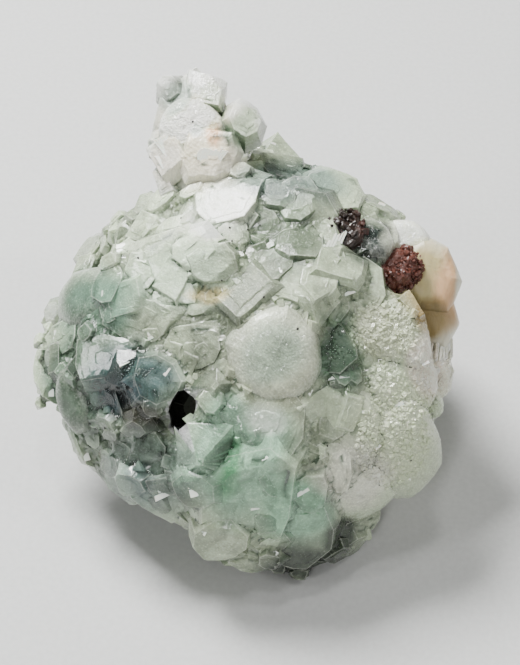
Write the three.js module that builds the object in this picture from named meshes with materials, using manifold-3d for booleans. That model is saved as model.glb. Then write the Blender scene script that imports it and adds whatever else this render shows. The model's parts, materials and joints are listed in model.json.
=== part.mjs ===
// Apophyllite cluster: a cabinet specimen of grown-together apophyllite crystals on a lump of dark basalt.
// A pale stilbite column rises at the back left, a cream stilbite wedge closes the right side, and a patch of
// rust-stained druse sits between the wedge and the apophyllite. The underside is the flat break where the
// specimen came off the rock. Millimetres, +Z up, origin under the middle of the specimen on its resting plane.
import * as THREE from "three";
import { ConvexGeometry } from "three/addons/geometries/ConvexGeometry.js";
import { mergeVertices } from "three/addons/utils/BufferGeometryUtils.js";
import Module from "manifold-3d";

const wasm = await Module();
wasm.setup();

// The display face is the side that a collector turns to the viewer. Every crystal's place is given on it:
// x to the right, y up the face and z out of it, with the face leaning back from upright.
const FACE_LEAN = 43;
const FACE_ORIGIN = [-0.5, 6.9, 24.5];

// Places are read off the face as the eye sees it from arm's length, where near things look larger. These bring
// them back to true size round the point looked at, let the crystals grow sideways into each other, and tip each
// one a little.
const TRUE_SHARE = 0.92;
const LOOKED_AT = [1.9, -2.4];
const GROWN_TOGETHER = [1.24, 1.24, 1];
const TIP = 9;

// The mound that the crystals stand on, in the display face's own frame. Its reach from the middle to the rim is
// given every 22.5 degrees, from straight right and on upwards.
const MOUND = {
  x: 0, y: -9.5, bulge: 29, fullness: 2.3,
  reach: [36, 39, 38, 37.5, 37, 35, 35, 34.5, 37, 33.5, 31.5, 30, 34, 35, 33, 34],
};
const CORE = { depth: 2.2, roughness: 1.2, directions: 50, seed: 311 };
const AXIS_FOLLOWS_MOUND = 0.6;
const STEEPEST_AXIS = 62;

// The gap at every seat, the size of the cutting slab, how far the crystals end above the resting plane, the
// smallest edge that is kept and the distance within which two corners are one.
const SEAT_GAP = 0.3;
const FLOOR_CUT = 200;
const BROKEN_EDGE_LIFT = 0.8;
const SLIVER = 0.25;
const SAME_CORNER = 1e-4;

// The first seed of each list of crystals, and the step from one crystal's seed to the next.
const SEEDS = { face: 1009, column: 501, wedge: 601, druse: 701, knobs: 900, hollow: 77 };
const SEED_STEP = 97;
const SEED_RANGE = 1e6;
const TIP_SEED_SHARE = 7;

const radians = THREE.MathUtils.degToRad;

const faceToRow = new THREE.Matrix4()
  .makeTranslation(...FACE_ORIGIN)
  .multiply(new THREE.Matrix4().makeRotationX(radians(FACE_LEAN)));

// A repeatable stream of numbers from 0 to 1.
function randomFrom(seed) {
  let state = seed;
  return () => {
    state = (state * 16807) % 2147483647;
    return state / 2147483647;
  };
}

// The mound's reach in one direction across the face, blended between the two stated reaches beside it.
function reachAt(across, along) {
  const steps = MOUND.reach.length;
  const turn = ((Math.atan2(along, across) / (2 * Math.PI) + 1) * steps) % steps;
  const first = Math.floor(turn);
  return THREE.MathUtils.lerp(MOUND.reach[first], MOUND.reach[(first + 1) % steps], turn - first);
}

// How far the mound stands out of the display face's plane at a place on the face.
function moundHeight(x, y) {
  const [across, along] = [x - MOUND.x, y - MOUND.y];
  const share = Math.hypot(across, along) / reachAt(across, along);
  return MOUND.bulge * Math.max(0, 1 - share ** MOUND.fullness) ** (1 / MOUND.fullness);
}

// The point where a direction from the mound's centre leaves the mound.
function moundPoint(direction, sink = 0) {
  const flat = Math.hypot(direction.x, direction.y) / reachAt(direction.x, direction.y);
  const deep = Math.abs(direction.z / MOUND.bulge);
  const reach = (flat ** MOUND.fullness + deep ** MOUND.fullness) ** (-1 / MOUND.fullness);
  return direction.clone().multiplyScalar(reach - sink).add(new THREE.Vector3(MOUND.x, MOUND.y, 0));
}

// Outlines of the crystal habits, as corners at unit size. A cut square is the tetragonal section of apophyllite.
function cutSquare(cut) {
  const corners = [[1, -cut], [1, cut], [cut, 1], [-cut, 1], [-1, cut], [-1, -cut], [-cut, -1], [cut, -1]];
  const kept = cut < 1 ? corners : corners.filter((_, i) => i % 2);
  return kept.map(([x, y]) => new THREE.Vector2(x, y));
}

function regular(count) {
  return Array.from({ length: count }, (_, i) => {
    const angle = ((i + 0.5) * 2 * Math.PI) / count;
    return new THREE.Vector2(Math.cos(angle), Math.sin(angle));
  });
}

// Each habit: its outline, how uneven that is, and its rings as [height, width], both at unit size.
const HABITS = {
  tablet: { outline: cutSquare(0.52), uneven: 0.15, rings: [[-1, 0.75], [0.3, 1], [1, 0.76]] },
  disc: { outline: regular(8), uneven: 0.09, rings: [[-1, 0.7], [0.2, 1], [1, 0.66]] },
  boulder: { outline: regular(7), uneven: 0.14, rings: [[-1, 0.5], [0, 1], [0.65, 0.8], [1, 0.42]] },
  block: { outline: cutSquare(1), uneven: 0.08, rings: [[-1, 0.9], [0.6, 1], [1, 0.8]] },
  point: { outline: cutSquare(1), uneven: 0.08, rings: [[-1, 0.9], [0.1, 1], [1, 0.12]] },
  blade: { outline: cutSquare(1), uneven: 0.08, rings: [[-1, 0.8], [0, 1], [1, 0.55]] },
};

// One crystal: its place as [x, y, stand], half sizes as [width, height, thickness], the spin about its own axis
// and the turn of that axis to the right and upwards, in degrees. The stand is measured from the mound's surface
// for a crystal seated on it, and from the face's plane for one that isn't.
const crystal = (habit) => (name, place, size, spin = 0, turn = [0, 0]) => ({ habit, name, place, size, spin, turn });
const tablet = crystal("tablet");
const disc = crystal("disc");
const boulder = crystal("boulder");
const block = crystal("block");
const point = crystal("point");
const blade = crystal("blade");

const UPPER_LEFT = [
  boulder("shoulder", [-19, 19.5, -2], [7.6, 4.8, 6], 10, [-6, 10]),
  tablet("left boulder", [-15, 8.5, -1], [10, 6.6, 7], 12, [0, -6]),
  disc("left disc", [-8.4, 11.6, 1], [5.6, 5.2, 4.4], 0, [10, 4]),
  tablet("left boulder skirt", [-18.6, 1.6, -1], [7, 4.4, 5.5], -8, [-4, -26]),
  boulder("upper rim knob", [-25.6, 17.4, -1], [3.7, 3.8, 4], 30, [-8, 6]),
  tablet("rim tablet", [-30.8, 12.4, -2], [4.2, 4.4, 5], 42, [-6, 8]),
  point("bright point", [-24.2, 13.6, 1.5], [3, 2.4, 3], 30, [-22, -8]),
];

const LEFT = [
  disc("mint boulder", [-30.4, 3.2, -1.5], [7.4, 5.8, 6.5], 6, [-2, 8]),
  tablet("outer chip", [-39.6, 0.4, 3], [2.2, 3.3, 3], 10, [-10, 4]),
  tablet("pale heel", [-35, -3.8, -0.5], [4.4, 3.6, 4.4], 20, [-2, -6]),
  boulder("edge lobe", [-40, -9.8, 3], [3.1, 6.4, 4.5], 6, [-14, 0]),
  blade("inner lobe", [-37, -8, 2], [2.2, 4.4, 3.6], 8, [0, 0]),
  disc("ringed disc", [-33.8, -15.2, 1.5], [3.6, 5.6, 4.2], 12, [8, -4]),
  tablet("smoky upper", [-26, -8.4, -1.5], [6.4, 5, 5], -8, [4, 10]),
  tablet("smoky hollow", [-27.2, -16, -3.2], [5.4, 4.8, 5], 22, [-8, -6]),
  disc("smoky disc", [-17.8, -11.4, 0.2], [5.5, 5.8, 4.4], 20, [6, 4]),
  boulder("striped knob", [-21.4, -19.2, -0.4], [5.4, 3.6, 4.4], 12, [-4, -16]),
];

const LOWER_LEFT = [
  tablet("pale table", [-15.8, -31.6, 0], [6.8, 5.6, 5.4], -26, [6, -8]),
  tablet("dark flank", [-22.2, -30, -1], [5.4, 4.2, 5], -30, [-14, -14]),
  tablet("smoky wedge", [-18.4, -24.6, -1.2], [4.6, 3.8, 4.6], 36, [0, 10]),
  blade("left wall", [-32.6, -23.4, 1], [2.9, 6.6, 4], 16, [-16, -2]),
  boulder("wall foot", [-27.6, -28.4, 0.5], [3.2, 3.2, 4], 0, [-10, -12]),
  tablet("front skirt", [-10.8, -35.8, -1], [6, 3.9, 5], -24, [0, -18]),
  boulder("floor chips", [-8, -40.6, 6], [3.4, 2.2, 3.6], -20, [-4, -24]),
];

const MIDDLE = [
  tablet("milky tablet", [-4.4, 23.6, 3], [5.8, 5.1, 4], 4, [6, 2]),
  tablet("cream foot", [-6, 18, 0], [6.8, 4.6, 4.6], -14, [4, -12]),
  disc("front disc", [5.2, -6.6, 2.6], [8.7, 8.3, 5], 8, [4, -4]),
  tablet("disc crown", [5.4, 0.4, 1.6], [6.4, 4.4, 4.6], -6, [2, 12]),
  tablet("upper table", [7.4, 6.4, 0.4], [9, 7, 5.4], -4, [2, 16]),
  tablet("grey table", [9.6, 16.6, -1], [6.6, 7.2, 5.4], -12, [2, 4]),
  boulder("olive slope", [0.6, 13.4, -1.6], [6.2, 5.2, 5], 20, [-6, -2]),
  tablet("sparkling slope", [3.4, 21.4, -2], [4.6, 4.6, 5], 30, [-4, 10]),
  boulder("brown glass", [-5.4, 2.2, -0.6], [5.2, 6, 5], 12, [-6, 4]),
  tablet("brown table", [-9.8, -4.6, -1.4], [5.2, 4.6, 5], 22, [-8, -4]),
  tablet("glass shoulder", [-4.8, -10.4, -0.4], [3.6, 5.4, 4.4], -26, [-10, -2]),
];

const BACK_RIDGE = [
  point("ridge peak", [4, 33, 3.4], [4.3, 4.2, 4.6], 34, [-8, 30]),
  tablet("ridge table", [6.4, 29, 2.4], [4.8, 3.6, 4], -16, [4, 6]),
  blade("ridge bar", [9.6, 29.8, 4.4], [6.8, 1.3, 3], -14, [0, 30]),
  blade("long ridge bar", [16, 27, 4], [6, 1.5, 3.4], -16, [8, 40]),
  tablet("pale ridge table", [16, 23.8, 0.6], [6.4, 4.9, 5], -22, [8, 8]),
  tablet("dark nook", [2.8, 27.2, -1], [3.9, 3.8, 4], 12, [-6, 2]),
  tablet("outer ridge", [24.4, 20.6, 1.6], [4.6, 2.6, 4], -18, [10, 16]),
  boulder("saddle", [22, 19.6, -1], [5, 3.6, 4.6], -14, [4, 6]),
];

const RIGHT = [
  blade("white fan", [15.6, 14.2, 1.6], [3.3, 7.2, 4], 16, [-20, 2]),
  tablet("smoky pair left", [22.6, 15.6, 1.2], [3, 4.4, 4], 12, [-8, 2]),
  boulder("smoky pair right", [26.4, 15.6, 0.8], [3.1, 4.6, 4.2], -12, [8, 2]),
  tablet("grey seat", [20.4, 4.2, -0.8], [5.6, 5.2, 5], 16, [2, 6]),
  tablet("pale shelf", [26.6, -1.6, 1], [8.4, 6.6, 5.4], -28, [0, 4]),
  blade("shelf edge", [32.6, -3.6, 3.6], [1.6, 8, 3], 26, [26, -2]),
  tablet("green nook", [14.6, 0.6, -0.8], [4, 3.6, 4.4], 34, [8, 6]),
  tablet("deep green left", [15.8, -6.2, -0.6], [4.2, 4.6, 5], 38, [-10, 4]),
  tablet("deep green right", [21.8, -6.8, -1.2], [5, 4.4, 5], 30, [8, 2]),
  point("glint cluster", [16.2, -12.2, 2.2], [2.8, 2.2, 3], 14, [-16, 4]),
];

const LOWER_RIGHT = [
  disc("frosted disc", [29.2, -12.2, 2.4], [6.8, 5.8, 5], -6, [6, 4]),
  boulder("frosted boulder", [27.8, -24, 2], [7.5, 9.6, 7.4], 8, [-4, -2]),
  boulder("cream lobe", [34.6, -16.6, 2.4], [3.2, 3.2, 4], 0, [4, 0]),
  tablet("standing tablet", [20.8, -20.6, 2.2], [3.9, 7.2, 4.6], -8, [-10, 2]),
  tablet("thumb crystal", [16.2, -26.6, 2.6], [3.3, 5.2, 4], 10, [-8, -8]),
  disc("lower disc", [21.8, -32, 1.8], [7.2, 6.2, 5.4], 18, [2, -14]),
  block("lower point", [21.4, -33, 1.4], [3.6, 3.4, 4], 32, [6, -24]),
  tablet("green underlip", [18.6, -37.4, 0], [5.6, 3.8, 4.6], 12, [2, -20]),
];

const GREEN = [
  tablet("glare table", [1.6, -19.6, 0.6], [8.6, 6.6, 5.6], -4, [2, 10]),
  tablet("great green prism", [-0.6, -30.4, 0.2], [8.6, 10.4, 7], 3, [2, -12]),
  blade("green prism wall", [-8.4, -25, -0.4], [3.6, 10, 5.6], -3, [-24, -6]),
  tablet("blue mint tablet", [15.2, -16.6, 0], [5.8, 4.6, 4.8], 28, [4, 6]),
  tablet("pale mint tablet", [10.2, -23.8, 0], [5.4, 5, 5], 12, [6, 0]),
  tablet("green core crystal", [9.2, -38.4, 1.6], [6.9, 6.9, 5.6], 36, [4, -14]),
  blade("green flank", [14.4, -32.4, 0.6], [3.2, 5.6, 4.4], -10, [14, -6]),
  tablet("mint toe", [-1, -41.4, 0.2], [6.6, 4.6, 5], 8, [-2, -22]),
  disc("rimmed plate", [0.4, -45.4, 10.5], [5.9, 3.3, 3.6], -12, [-6, -8]),
  boulder("dark toe", [9.4, -47.4, 11.5], [6.4, 2.9, 4.6], 6, [0, -10]),
  disc("olive toe", [18, -42.6, 9], [4.4, 4.4, 4.6], -18, [8, -14]),
];

const STILBITE_COLUMN = [
  boulder("column body", [-12, 41.4, 12], [8, 9, 7.5], 10, [-4, 10]),
  boulder("column foot", [-9, 31, 12.5], [8.6, 9, 8.5], 20, [0, 6]),
  tablet("column heart", [-12.4, 39, 17.6], [6, 6.4, 4], 30, [0, 4]),
  disc("tip crystal", [-15.4, 47, 13.4], [3.8, 3.8, 4], 0, [-14, 20]),
  block("top crystal", [-9.2, 45, 13], [3.7, 3, 4.4], -12, [6, 16]),
  disc("side crystal", [-1, 39.4, 17], [4.3, 4.9, 4.6], 22, [12, 6]),
  block("left sheaf", [-14.2, 33.2, 16.6], [4, 4.4, 4], 34, [-24, 4]),
  tablet("front sheaf", [-7.4, 32.8, 19.6], [5.6, 5.2, 4], -18, [4, 8]),
  blade("left blade", [-15.6, 28, 14.6], [2.4, 4, 4], 22, [-20, -4]),
];

const STILBITE_WEDGE = [
  block("white cap", [31.8, 16.4, 13.6], [4.2, 3.1, 5.6], -6, [6, 12]),
  tablet("wedge body", [33.8, 9.4, 11.6], [6.4, 7.4, 7.4], 18, [10, 6]),
  point("wedge keel", [35.6, 3.4, 10.4], [4.6, 7.4, 7], 8, [12, -4]),
  blade("fan upper", [35.8, -5.4, 12.6], [3.4, 4.2, 4.6], -10, [16, 4]),
  boulder("fan lobe", [37, -10.4, 12.6], [3.8, 5, 4.6], -6, [12, -4]),
];

const RUST_DRUSE = [
  boulder("brown patch", [18.6, 18, 22.2], [3.7, 3.3, 3.4], 20, [-4, 8]),
  boulder("brown link", [22.6, 12.4, 20.6], [3.6, 3.6, 3.6], 0, [0, 0]),
  boulder("red tail", [26.4, 9.2, 20.2], [3.6, 2.8, 3.4], 0, [0, 0]),
  boulder("red knob", [30.8, 10.8, 19.4], [4.4, 3.8, 4.4], 10, [8, 0]),
];

// The basalt lump, in the row's own frame: rings of [height, share of the half sizes], then knobs that reach the
// two gaps between the crystals where dark rock shows.
const LUMP = {
  x: 0, y: 3, halfWidth: 23, halfDepth: 20, corners: 13, uneven: 0.09, seed: 793,
  rings: [[0, 0.94], [4, 1], [11, 0.96], [18, 0.78], [23, 0.5]],
};
const ROCK_KNOBS = [
  boulder("hollow floor", [-12.6, -15.4, 12], [5.4, 6.4, 7.4], 10, [0, 0]),
  boulder("gap floor", [33, 0, 8], [4, 6, 8], 0, [0, 0]),
];

// The pit between the smoky disc and the green prism.
const HOLLOW = point("hollow", [-12.8, -16.6, 24.6], [3.6, 5, 9], -16, [0, 0]);

// Crystals of the back and sides: spread evenly round the mound and kept where the face list has none.
const BACK_CRYSTALS = {
  count: 76, seed: 4021, facing: -0.06, lowest: -0.45, sink: 0.72,
  smallest: 6, spread: 4, habits: ["tablet", "block", "block", "point"],
  lean: 0.7, quarterTurn: 90, thinnest: 0.62, thicker: 0.3, narrowest: 0.8,
};

// The corners of a crystal in its own frame. growth makes every half size larger, for a cut that leaves a gap.
function corners({ habit, size, seed }, growth) {
  const { outline, uneven, rings } = HABITS[habit];
  const random = randomFrom(seed);
  const reach = outline.map(() => 1 + uneven * (2 * random() - 1));
  const drift = [uneven * (2 * random() - 1), uneven * (2 * random() - 1)];
  const [width, height, thickness] = size.map((half) => half + growth);
  return rings.flatMap(([level, share]) =>
    outline.map(
      (corner, i) =>
        new THREE.Vector3(
          width * (corner.x * reach[i] * share + drift[0] * level),
          height * (corner.y * reach[i] * share + drift[1] * level),
          thickness * level,
        ),
    ),
  );
}

// The direction of a crystal's own axis on the mound: partly the mound's slope, partly the crystal's own turn.
function axisOf(x, y, [turnRight, turnUp], onMound) {
  const step = 0.5;
  const follow = onMound ? AXIS_FOLLOWS_MOUND : 0;
  const slope = (rise) => follow * THREE.MathUtils.radToDeg(Math.atan(rise / (2 * step)));
  const right = slope(moundHeight(x - step, y) - moundHeight(x + step, y)) + turnRight;
  const up = slope(moundHeight(x, y - step) - moundHeight(x, y + step)) + turnUp;
  const tangent = (angle) => Math.tan(radians(THREE.MathUtils.clamp(angle, -STEEPEST_AXIS, STEEPEST_AXIS)));
  return new THREE.Vector3(tangent(right), tangent(up), 1).normalize();
}

const UP_AXIS = new THREE.Vector3(0, 0, 1);

function standing(centre, axis, spin) {
  const turn = new THREE.Quaternion().setFromUnitVectors(UP_AXIS, axis);
  turn.multiply(new THREE.Quaternion().setFromAxisAngle(UP_AXIS, radians(spin)));
  return new THREE.Matrix4().compose(centre, turn, new THREE.Vector3(1, 1, 1));
}

function toSolid(geometry) {
  const bare = geometry.clone();
  bare.deleteAttribute("normal");
  bare.deleteAttribute("uv");
  const merged = mergeVertices(bare, SAME_CORNER);
  return new wasm.Manifold(
    new wasm.Mesh({
      numProp: 3,
      vertProperties: merged.getAttribute("position").array,
      triVerts: new Uint32Array(merged.index.array),
    }),
  );
}

function toGeometry(solid) {
  const { numProp, vertProperties, triVerts } = solid.getMesh();
  const positions = new Float32Array((vertProperties.length / numProp) * 3);
  for (let i = 0; i < positions.length / 3; i++) {
    positions.set(vertProperties.subarray(i * numProp, i * numProp + 3), i * 3);
  }
  const geometry = new THREE.BufferGeometry();
  geometry.setAttribute("position", new THREE.BufferAttribute(positions, 3));
  geometry.setIndex(new THREE.BufferAttribute(new Uint32Array(triVerts), 1));
  geometry.computeVertexNormals();
  return geometry;
}

function crystalSolid(entry, onMound, growth = 0) {
  const [x, y, stand] = entry.place;
  const centre = new THREE.Vector3(x, y, stand + (onMound ? moundHeight(x, y) : 0));
  const axis = axisOf(x, y, entry.turn, onMound);
  const matrix = faceToRow.clone().multiply(standing(centre, axis, entry.spin));
  return toSolid(new ConvexGeometry(corners(entry, growth)).applyMatrix4(matrix));
}

function joined(solids) {
  return solids.reduce((all, next) => all.add(next));
}

// The list at true size. Growth order gives each crystal its own seed, so the same list always grows the same
// crystals.
function grown(list, first) {
  return list.map((entry, i) => {
    const [x, y, stand] = entry.place;
    const place = [
      THREE.MathUtils.lerp(LOOKED_AT[0], x, TRUE_SHARE),
      THREE.MathUtils.lerp(LOOKED_AT[1], y, TRUE_SHARE),
      stand,
    ];
    const seed = first + SEED_STEP * i;
    const random = randomFrom(TIP_SEED_SHARE * seed);
    const turn = entry.turn.map((angle) => angle + TIP * (2 * random() - 1));
    return { ...entry, place, size: entry.size.map((half, axis) => half * GROWN_TOGETHER[axis]), turn, seed };
  });
}

// Directions spread evenly over a ball, by the golden angle.
function evenDirections(count) {
  const golden = Math.PI * (3 - Math.sqrt(5));
  return Array.from({ length: count }, (_, i) => {
    const height = 1 - (2 * (i + 0.5)) / count;
    const radius = Math.sqrt(1 - height * height);
    return new THREE.Vector3(radius * Math.cos(i * golden), radius * Math.sin(i * golden), height);
  });
}

// The grown-together mass under the crystals.
function coreSolid() {
  const random = randomFrom(CORE.seed);
  const points = evenDirections(CORE.directions).map((direction) =>
    moundPoint(direction, CORE.depth + CORE.roughness * (2 * random() - 1)).applyMatrix4(faceToRow),
  );
  return toSolid(new ConvexGeometry(points));
}

// The plainer crystals of the back and sides, each leaning its own way and sunk into the mass.
function backCrystals() {
  const { count, seed, facing, lowest, sink, smallest, spread, habits } = BACK_CRYSTALS;
  const { lean, quarterTurn, thinnest, thicker, narrowest } = BACK_CRYSTALS;
  const random = randomFrom(seed);
  const faceFromRow = faceToRow.clone().invert();
  const solids = [];
  evenDirections(count).forEach((rowDirection) => {
    const direction = rowDirection.clone().transformDirection(faceFromRow);
    const half = smallest + spread * random();
    const habit = habits[Math.floor(random() * habits.length)];
    const leaning = new THREE.Vector3(random() - 0.5, random() - 0.5, random() - 0.5).multiplyScalar(lean);
    const spin = quarterTurn * random();
    const flatness = thinnest + thicker * random();
    const own = 1 + Math.floor(random() * SEED_RANGE);
    if (direction.z > facing || rowDirection.z < lowest) return;
    const centre = moundPoint(direction, sink * half);
    const matrix = faceToRow.clone().multiply(standing(centre, direction.clone().add(leaning).normalize(), spin));
    const size = [half, half * THREE.MathUtils.lerp(narrowest, 1, flatness), half * flatness];
    const shape = new ConvexGeometry(corners({ habit, size, seed: own }, 0));
    solids.push(toSolid(shape.applyMatrix4(matrix)));
  });
  return solids;
}

// The basalt lump with its knobs.
function rockSolid(growth = 0) {
  const random = randomFrom(LUMP.seed);
  const reach = Array.from({ length: LUMP.corners }, () => 1 + LUMP.uneven * (2 * random() - 1));
  const points = LUMP.rings.flatMap(([height, share]) =>
    reach.map((length, i) => {
      const angle = (i * 2 * Math.PI) / LUMP.corners;
      const wobble = length + LUMP.uneven * 0.5 * (2 * random() - 1);
      return new THREE.Vector3(
        LUMP.x + (LUMP.halfWidth + growth) * share * wobble * Math.cos(angle),
        LUMP.y + (LUMP.halfDepth + growth) * share * wobble * Math.sin(angle),
        height ? height + growth : -growth,
      );
    }),
  );
  const knobs = grown(ROCK_KNOBS, SEEDS.knobs).map((entry) => crystalSolid(entry, false, growth));
  return joined([toSolid(new ConvexGeometry(points)), ...knobs]);
}

// Everything above a level plane.
function aboveSolid(level) {
  const slab = new THREE.BoxGeometry(FLOOR_CUT, FLOOR_CUT, FLOOR_CUT);
  return toSolid(slab.translate(0, 0, level + FLOOR_CUT / 2));
}

// The largest single body, without the loose chips and the slivers that a cut can leave.
function mainBody(solid) {
  const largest = (bodies) => bodies.sort((a, b) => b.volume() - a.volume())[0];
  return largest(largest(solid.decompose()).simplify(SLIVER).decompose());
}

// The crystals of a list that stands off the mound, as one solid.
function looseList(list, first, growth = 0) {
  return joined(grown(list, first).map((entry) => crystalSolid(entry, false, growth)));
}

const FACE_CRYSTALS = grown(
  [...UPPER_LEFT, ...LEFT, ...LOWER_LEFT, ...MIDDLE, ...BACK_RIDGE, ...RIGHT, ...LOWER_RIGHT, ...GREEN],
  SEEDS.face,
);

const wedge = mainBody(looseList(STILBITE_WEDGE, SEEDS.wedge));
const column = mainBody(looseList(STILBITE_COLUMN, SEEDS.column));
const druse = mainBody(looseList(RUST_DRUSE, SEEDS.druse).subtract(looseList(STILBITE_WEDGE, SEEDS.wedge, SEAT_GAP)));
const rock = mainBody(
  rockSolid()
    .subtract(looseList(STILBITE_WEDGE, SEEDS.wedge, SEAT_GAP))
    .subtract(looseList(RUST_DRUSE, SEEDS.druse, SEAT_GAP))
    .intersect(aboveSolid(0)),
);
const apophyllite = mainBody(
  joined([coreSolid(), ...FACE_CRYSTALS.map((entry) => crystalSolid(entry, true)), ...backCrystals()])
    .subtract(crystalSolid(grown([HOLLOW], SEEDS.hollow)[0], false))
    .subtract(looseList(STILBITE_WEDGE, SEEDS.wedge, SEAT_GAP))
    .subtract(looseList(STILBITE_COLUMN, SEEDS.column, SEAT_GAP))
    .subtract(looseList(RUST_DRUSE, SEEDS.druse, SEAT_GAP))
    .subtract(rockSolid(SEAT_GAP))
    .intersect(aboveSolid(BROKEN_EDGE_LIFT)),
);

function node(name, solid, color, roughness) {
  const mesh = new THREE.Mesh(
    toGeometry(solid),
    new THREE.MeshStandardMaterial({ color, roughness, metalness: 0, flatShading: true }),
  );
  mesh.name = name;
  return mesh;
}

const specimen = new THREE.Group();
specimen.add(
  node("apophyllite_crystals", apophyllite, 0xc6d2c8, 0.25),
  node("stilbite_column", column, 0xe2dccd, 0.45),
  node("stilbite_wedge", wedge, 0xd8c49c, 0.5),
  node("rust_druse", druse, 0x6b3a2c, 0.7),
  node("basalt_matrix", rock, 0x3b4039, 0.85),
);

// The origin goes under the middle of the specimen.
const middle = new THREE.Box3().setFromObject(specimen).getCenter(new THREE.Vector3());
specimen.position.set(-middle.x, -middle.y, 0);

export default specimen;
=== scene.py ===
import json
import math

import bmesh
import bpy
from mathutils import Matrix, Vector, noise
from mathutils.bvhtree import BVHTree

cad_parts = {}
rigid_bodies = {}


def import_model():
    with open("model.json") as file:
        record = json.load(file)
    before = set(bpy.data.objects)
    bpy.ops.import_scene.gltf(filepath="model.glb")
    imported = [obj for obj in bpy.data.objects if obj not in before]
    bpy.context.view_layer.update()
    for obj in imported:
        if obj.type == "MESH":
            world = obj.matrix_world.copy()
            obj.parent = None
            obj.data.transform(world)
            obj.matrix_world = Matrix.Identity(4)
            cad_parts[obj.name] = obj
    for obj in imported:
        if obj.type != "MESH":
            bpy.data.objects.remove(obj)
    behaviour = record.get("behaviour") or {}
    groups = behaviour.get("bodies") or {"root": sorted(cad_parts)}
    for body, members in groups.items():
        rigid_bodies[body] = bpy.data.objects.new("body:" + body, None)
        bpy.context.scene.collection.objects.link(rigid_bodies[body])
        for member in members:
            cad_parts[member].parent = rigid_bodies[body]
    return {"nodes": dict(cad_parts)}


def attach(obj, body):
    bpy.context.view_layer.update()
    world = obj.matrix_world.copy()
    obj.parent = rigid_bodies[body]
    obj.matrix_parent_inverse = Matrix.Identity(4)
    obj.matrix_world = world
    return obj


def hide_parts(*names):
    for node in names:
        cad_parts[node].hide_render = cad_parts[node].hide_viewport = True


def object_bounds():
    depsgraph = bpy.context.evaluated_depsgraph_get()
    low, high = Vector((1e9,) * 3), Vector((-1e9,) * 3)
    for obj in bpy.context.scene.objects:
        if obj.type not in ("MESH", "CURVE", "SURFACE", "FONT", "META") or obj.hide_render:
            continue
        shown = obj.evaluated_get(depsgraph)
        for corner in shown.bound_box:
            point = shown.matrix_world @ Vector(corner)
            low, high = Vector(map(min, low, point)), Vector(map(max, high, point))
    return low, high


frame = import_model()
cad_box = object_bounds()

MM = 0.001
VECTOR_MATHS = "ShaderNodeVectorMath"


# Basalt lump: the fine-grained grey-green rock that the crystals grew on, broken off flat where the specimen
# rests. It shows underneath and at the very bottom, and its broken skin is rough at several sizes.
def linear(hex_colour):
    """The linear colour of a hex code."""
    channels = [int(hex_colour[i : i + 2], 16) / 255 for i in (1, 3, 5)]
    curve = [c / 12.92 if c <= 0.04045 else ((c + 0.055) / 1.055) ** 2.4 for c in channels]
    return (*curve, 1.0)


def new_material(name):
    """A new material, its node tree and its main shader."""
    material = bpy.data.materials.new(name)
    material.use_nodes = True
    tree = material.node_tree
    return material, tree, tree.nodes["Principled BSDF"]


def add(tree, kind, settings=None, links=None):
    """A node of that kind, with its properties and socket values set and its inputs linked."""
    node = tree.nodes.new(kind)
    for key, value in (settings or {}).items():
        if isinstance(key, str) and hasattr(node, key):
            setattr(node, key, value)
        else:
            node.inputs[key].default_value = value
    for key, source in (links or {}).items():
        tree.links.new(source, node.inputs[key])
    return node


def maths(tree, operation, *values, kind="ShaderNodeMath"):
    """The result of a math node whose inputs are numbers, vectors or results of other nodes."""
    node = add(tree, kind, {"operation": operation})
    for socket, value in zip(node.inputs, values):
        if isinstance(value, bpy.types.NodeSocket):
            tree.links.new(value, socket)
        else:
            socket.default_value = value
    return node.outputs[0]


def ramp(tree, source, stops):
    """A colour ramp through the stops, each (place, colour)."""
    node = add(tree, "ShaderNodeValToRGB", links={"Fac": source})
    points = node.color_ramp.elements
    while len(points) < len(stops):
        points.new(0.5)
    for point, (place, colour) in zip(points, stops):
        point.position = place
        point.color = colour
    return node.outputs["Color"]


basalt, tree, shader = new_material("basalt_fresh_break")
place = add(tree, "ShaderNodeTexCoord").outputs["Object"]
blotch = add(tree, "ShaderNodeTexNoise", {"Scale": 160.0, "Detail": 6.0}, {"Vector": place}).outputs["Fac"]
grains = add(tree, "ShaderNodeTexVoronoi", {"Scale": 1100.0}, {"Vector": place}).outputs["Distance"]
tone = ramp(tree, blotch, [(0.3, linear("#24271f")), (0.5, linear("#3d4237")), (0.72, linear("#5a5442"))])
tree.links.new(tone, shader.inputs["Base Color"])
height = maths(tree, "ADD", blotch, grains)
bump = add(tree, "ShaderNodeBump", {"Strength": 0.6, "Distance": 0.4 * MM}, {"Height": height})
tree.links.new(bump.outputs["Normal"], shader.inputs["Normal"])
shader.inputs["Roughness"].default_value = 0.85

def even_skin(mesh, voxel):
    """The mesh with an even skin of small squares."""
    holder = bpy.data.objects.new("skin", mesh)
    bpy.context.scene.collection.objects.link(holder)
    skinning = holder.modifiers.new("even skin", "REMESH")
    skinning.mode = "VOXEL"
    skinning.voxel_size = voxel
    result = bpy.data.meshes.new_from_object(holder.evaluated_get(bpy.context.evaluated_depsgraph_get()))
    bpy.data.objects.remove(holder)
    return result


ROCK_VOXEL = 0.7 * MM
ROCK_ROUGHNESS = 0.45 * MM

skin = even_skin(frame["nodes"]["basalt_matrix"].data.copy(), ROCK_VOXEL)
rock = bpy.data.objects.new("basalt_lump", skin)
bpy.context.scene.collection.objects.link(rock)
lowest = min(vertex.co.z for vertex in skin.vertices)
for vertex in skin.vertices:
    at = vertex.co / MM
    rough = noise.fractal(at * 0.22, 1.0, 2.0, 4) - 0.35 * abs(noise.noise(at * 0.9))
    moved = vertex.co + vertex.normal * rough * ROCK_ROUGHNESS
    moved.z = max(moved.z, 0.0) if vertex.co.z > lowest + ROCK_VOXEL else max(0.0, -rough * 0.3 * MM)
    vertex.co = moved
skin.materials.clear()
skin.materials.append(basalt)
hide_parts("basalt_matrix")
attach(rock, "root")


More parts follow.
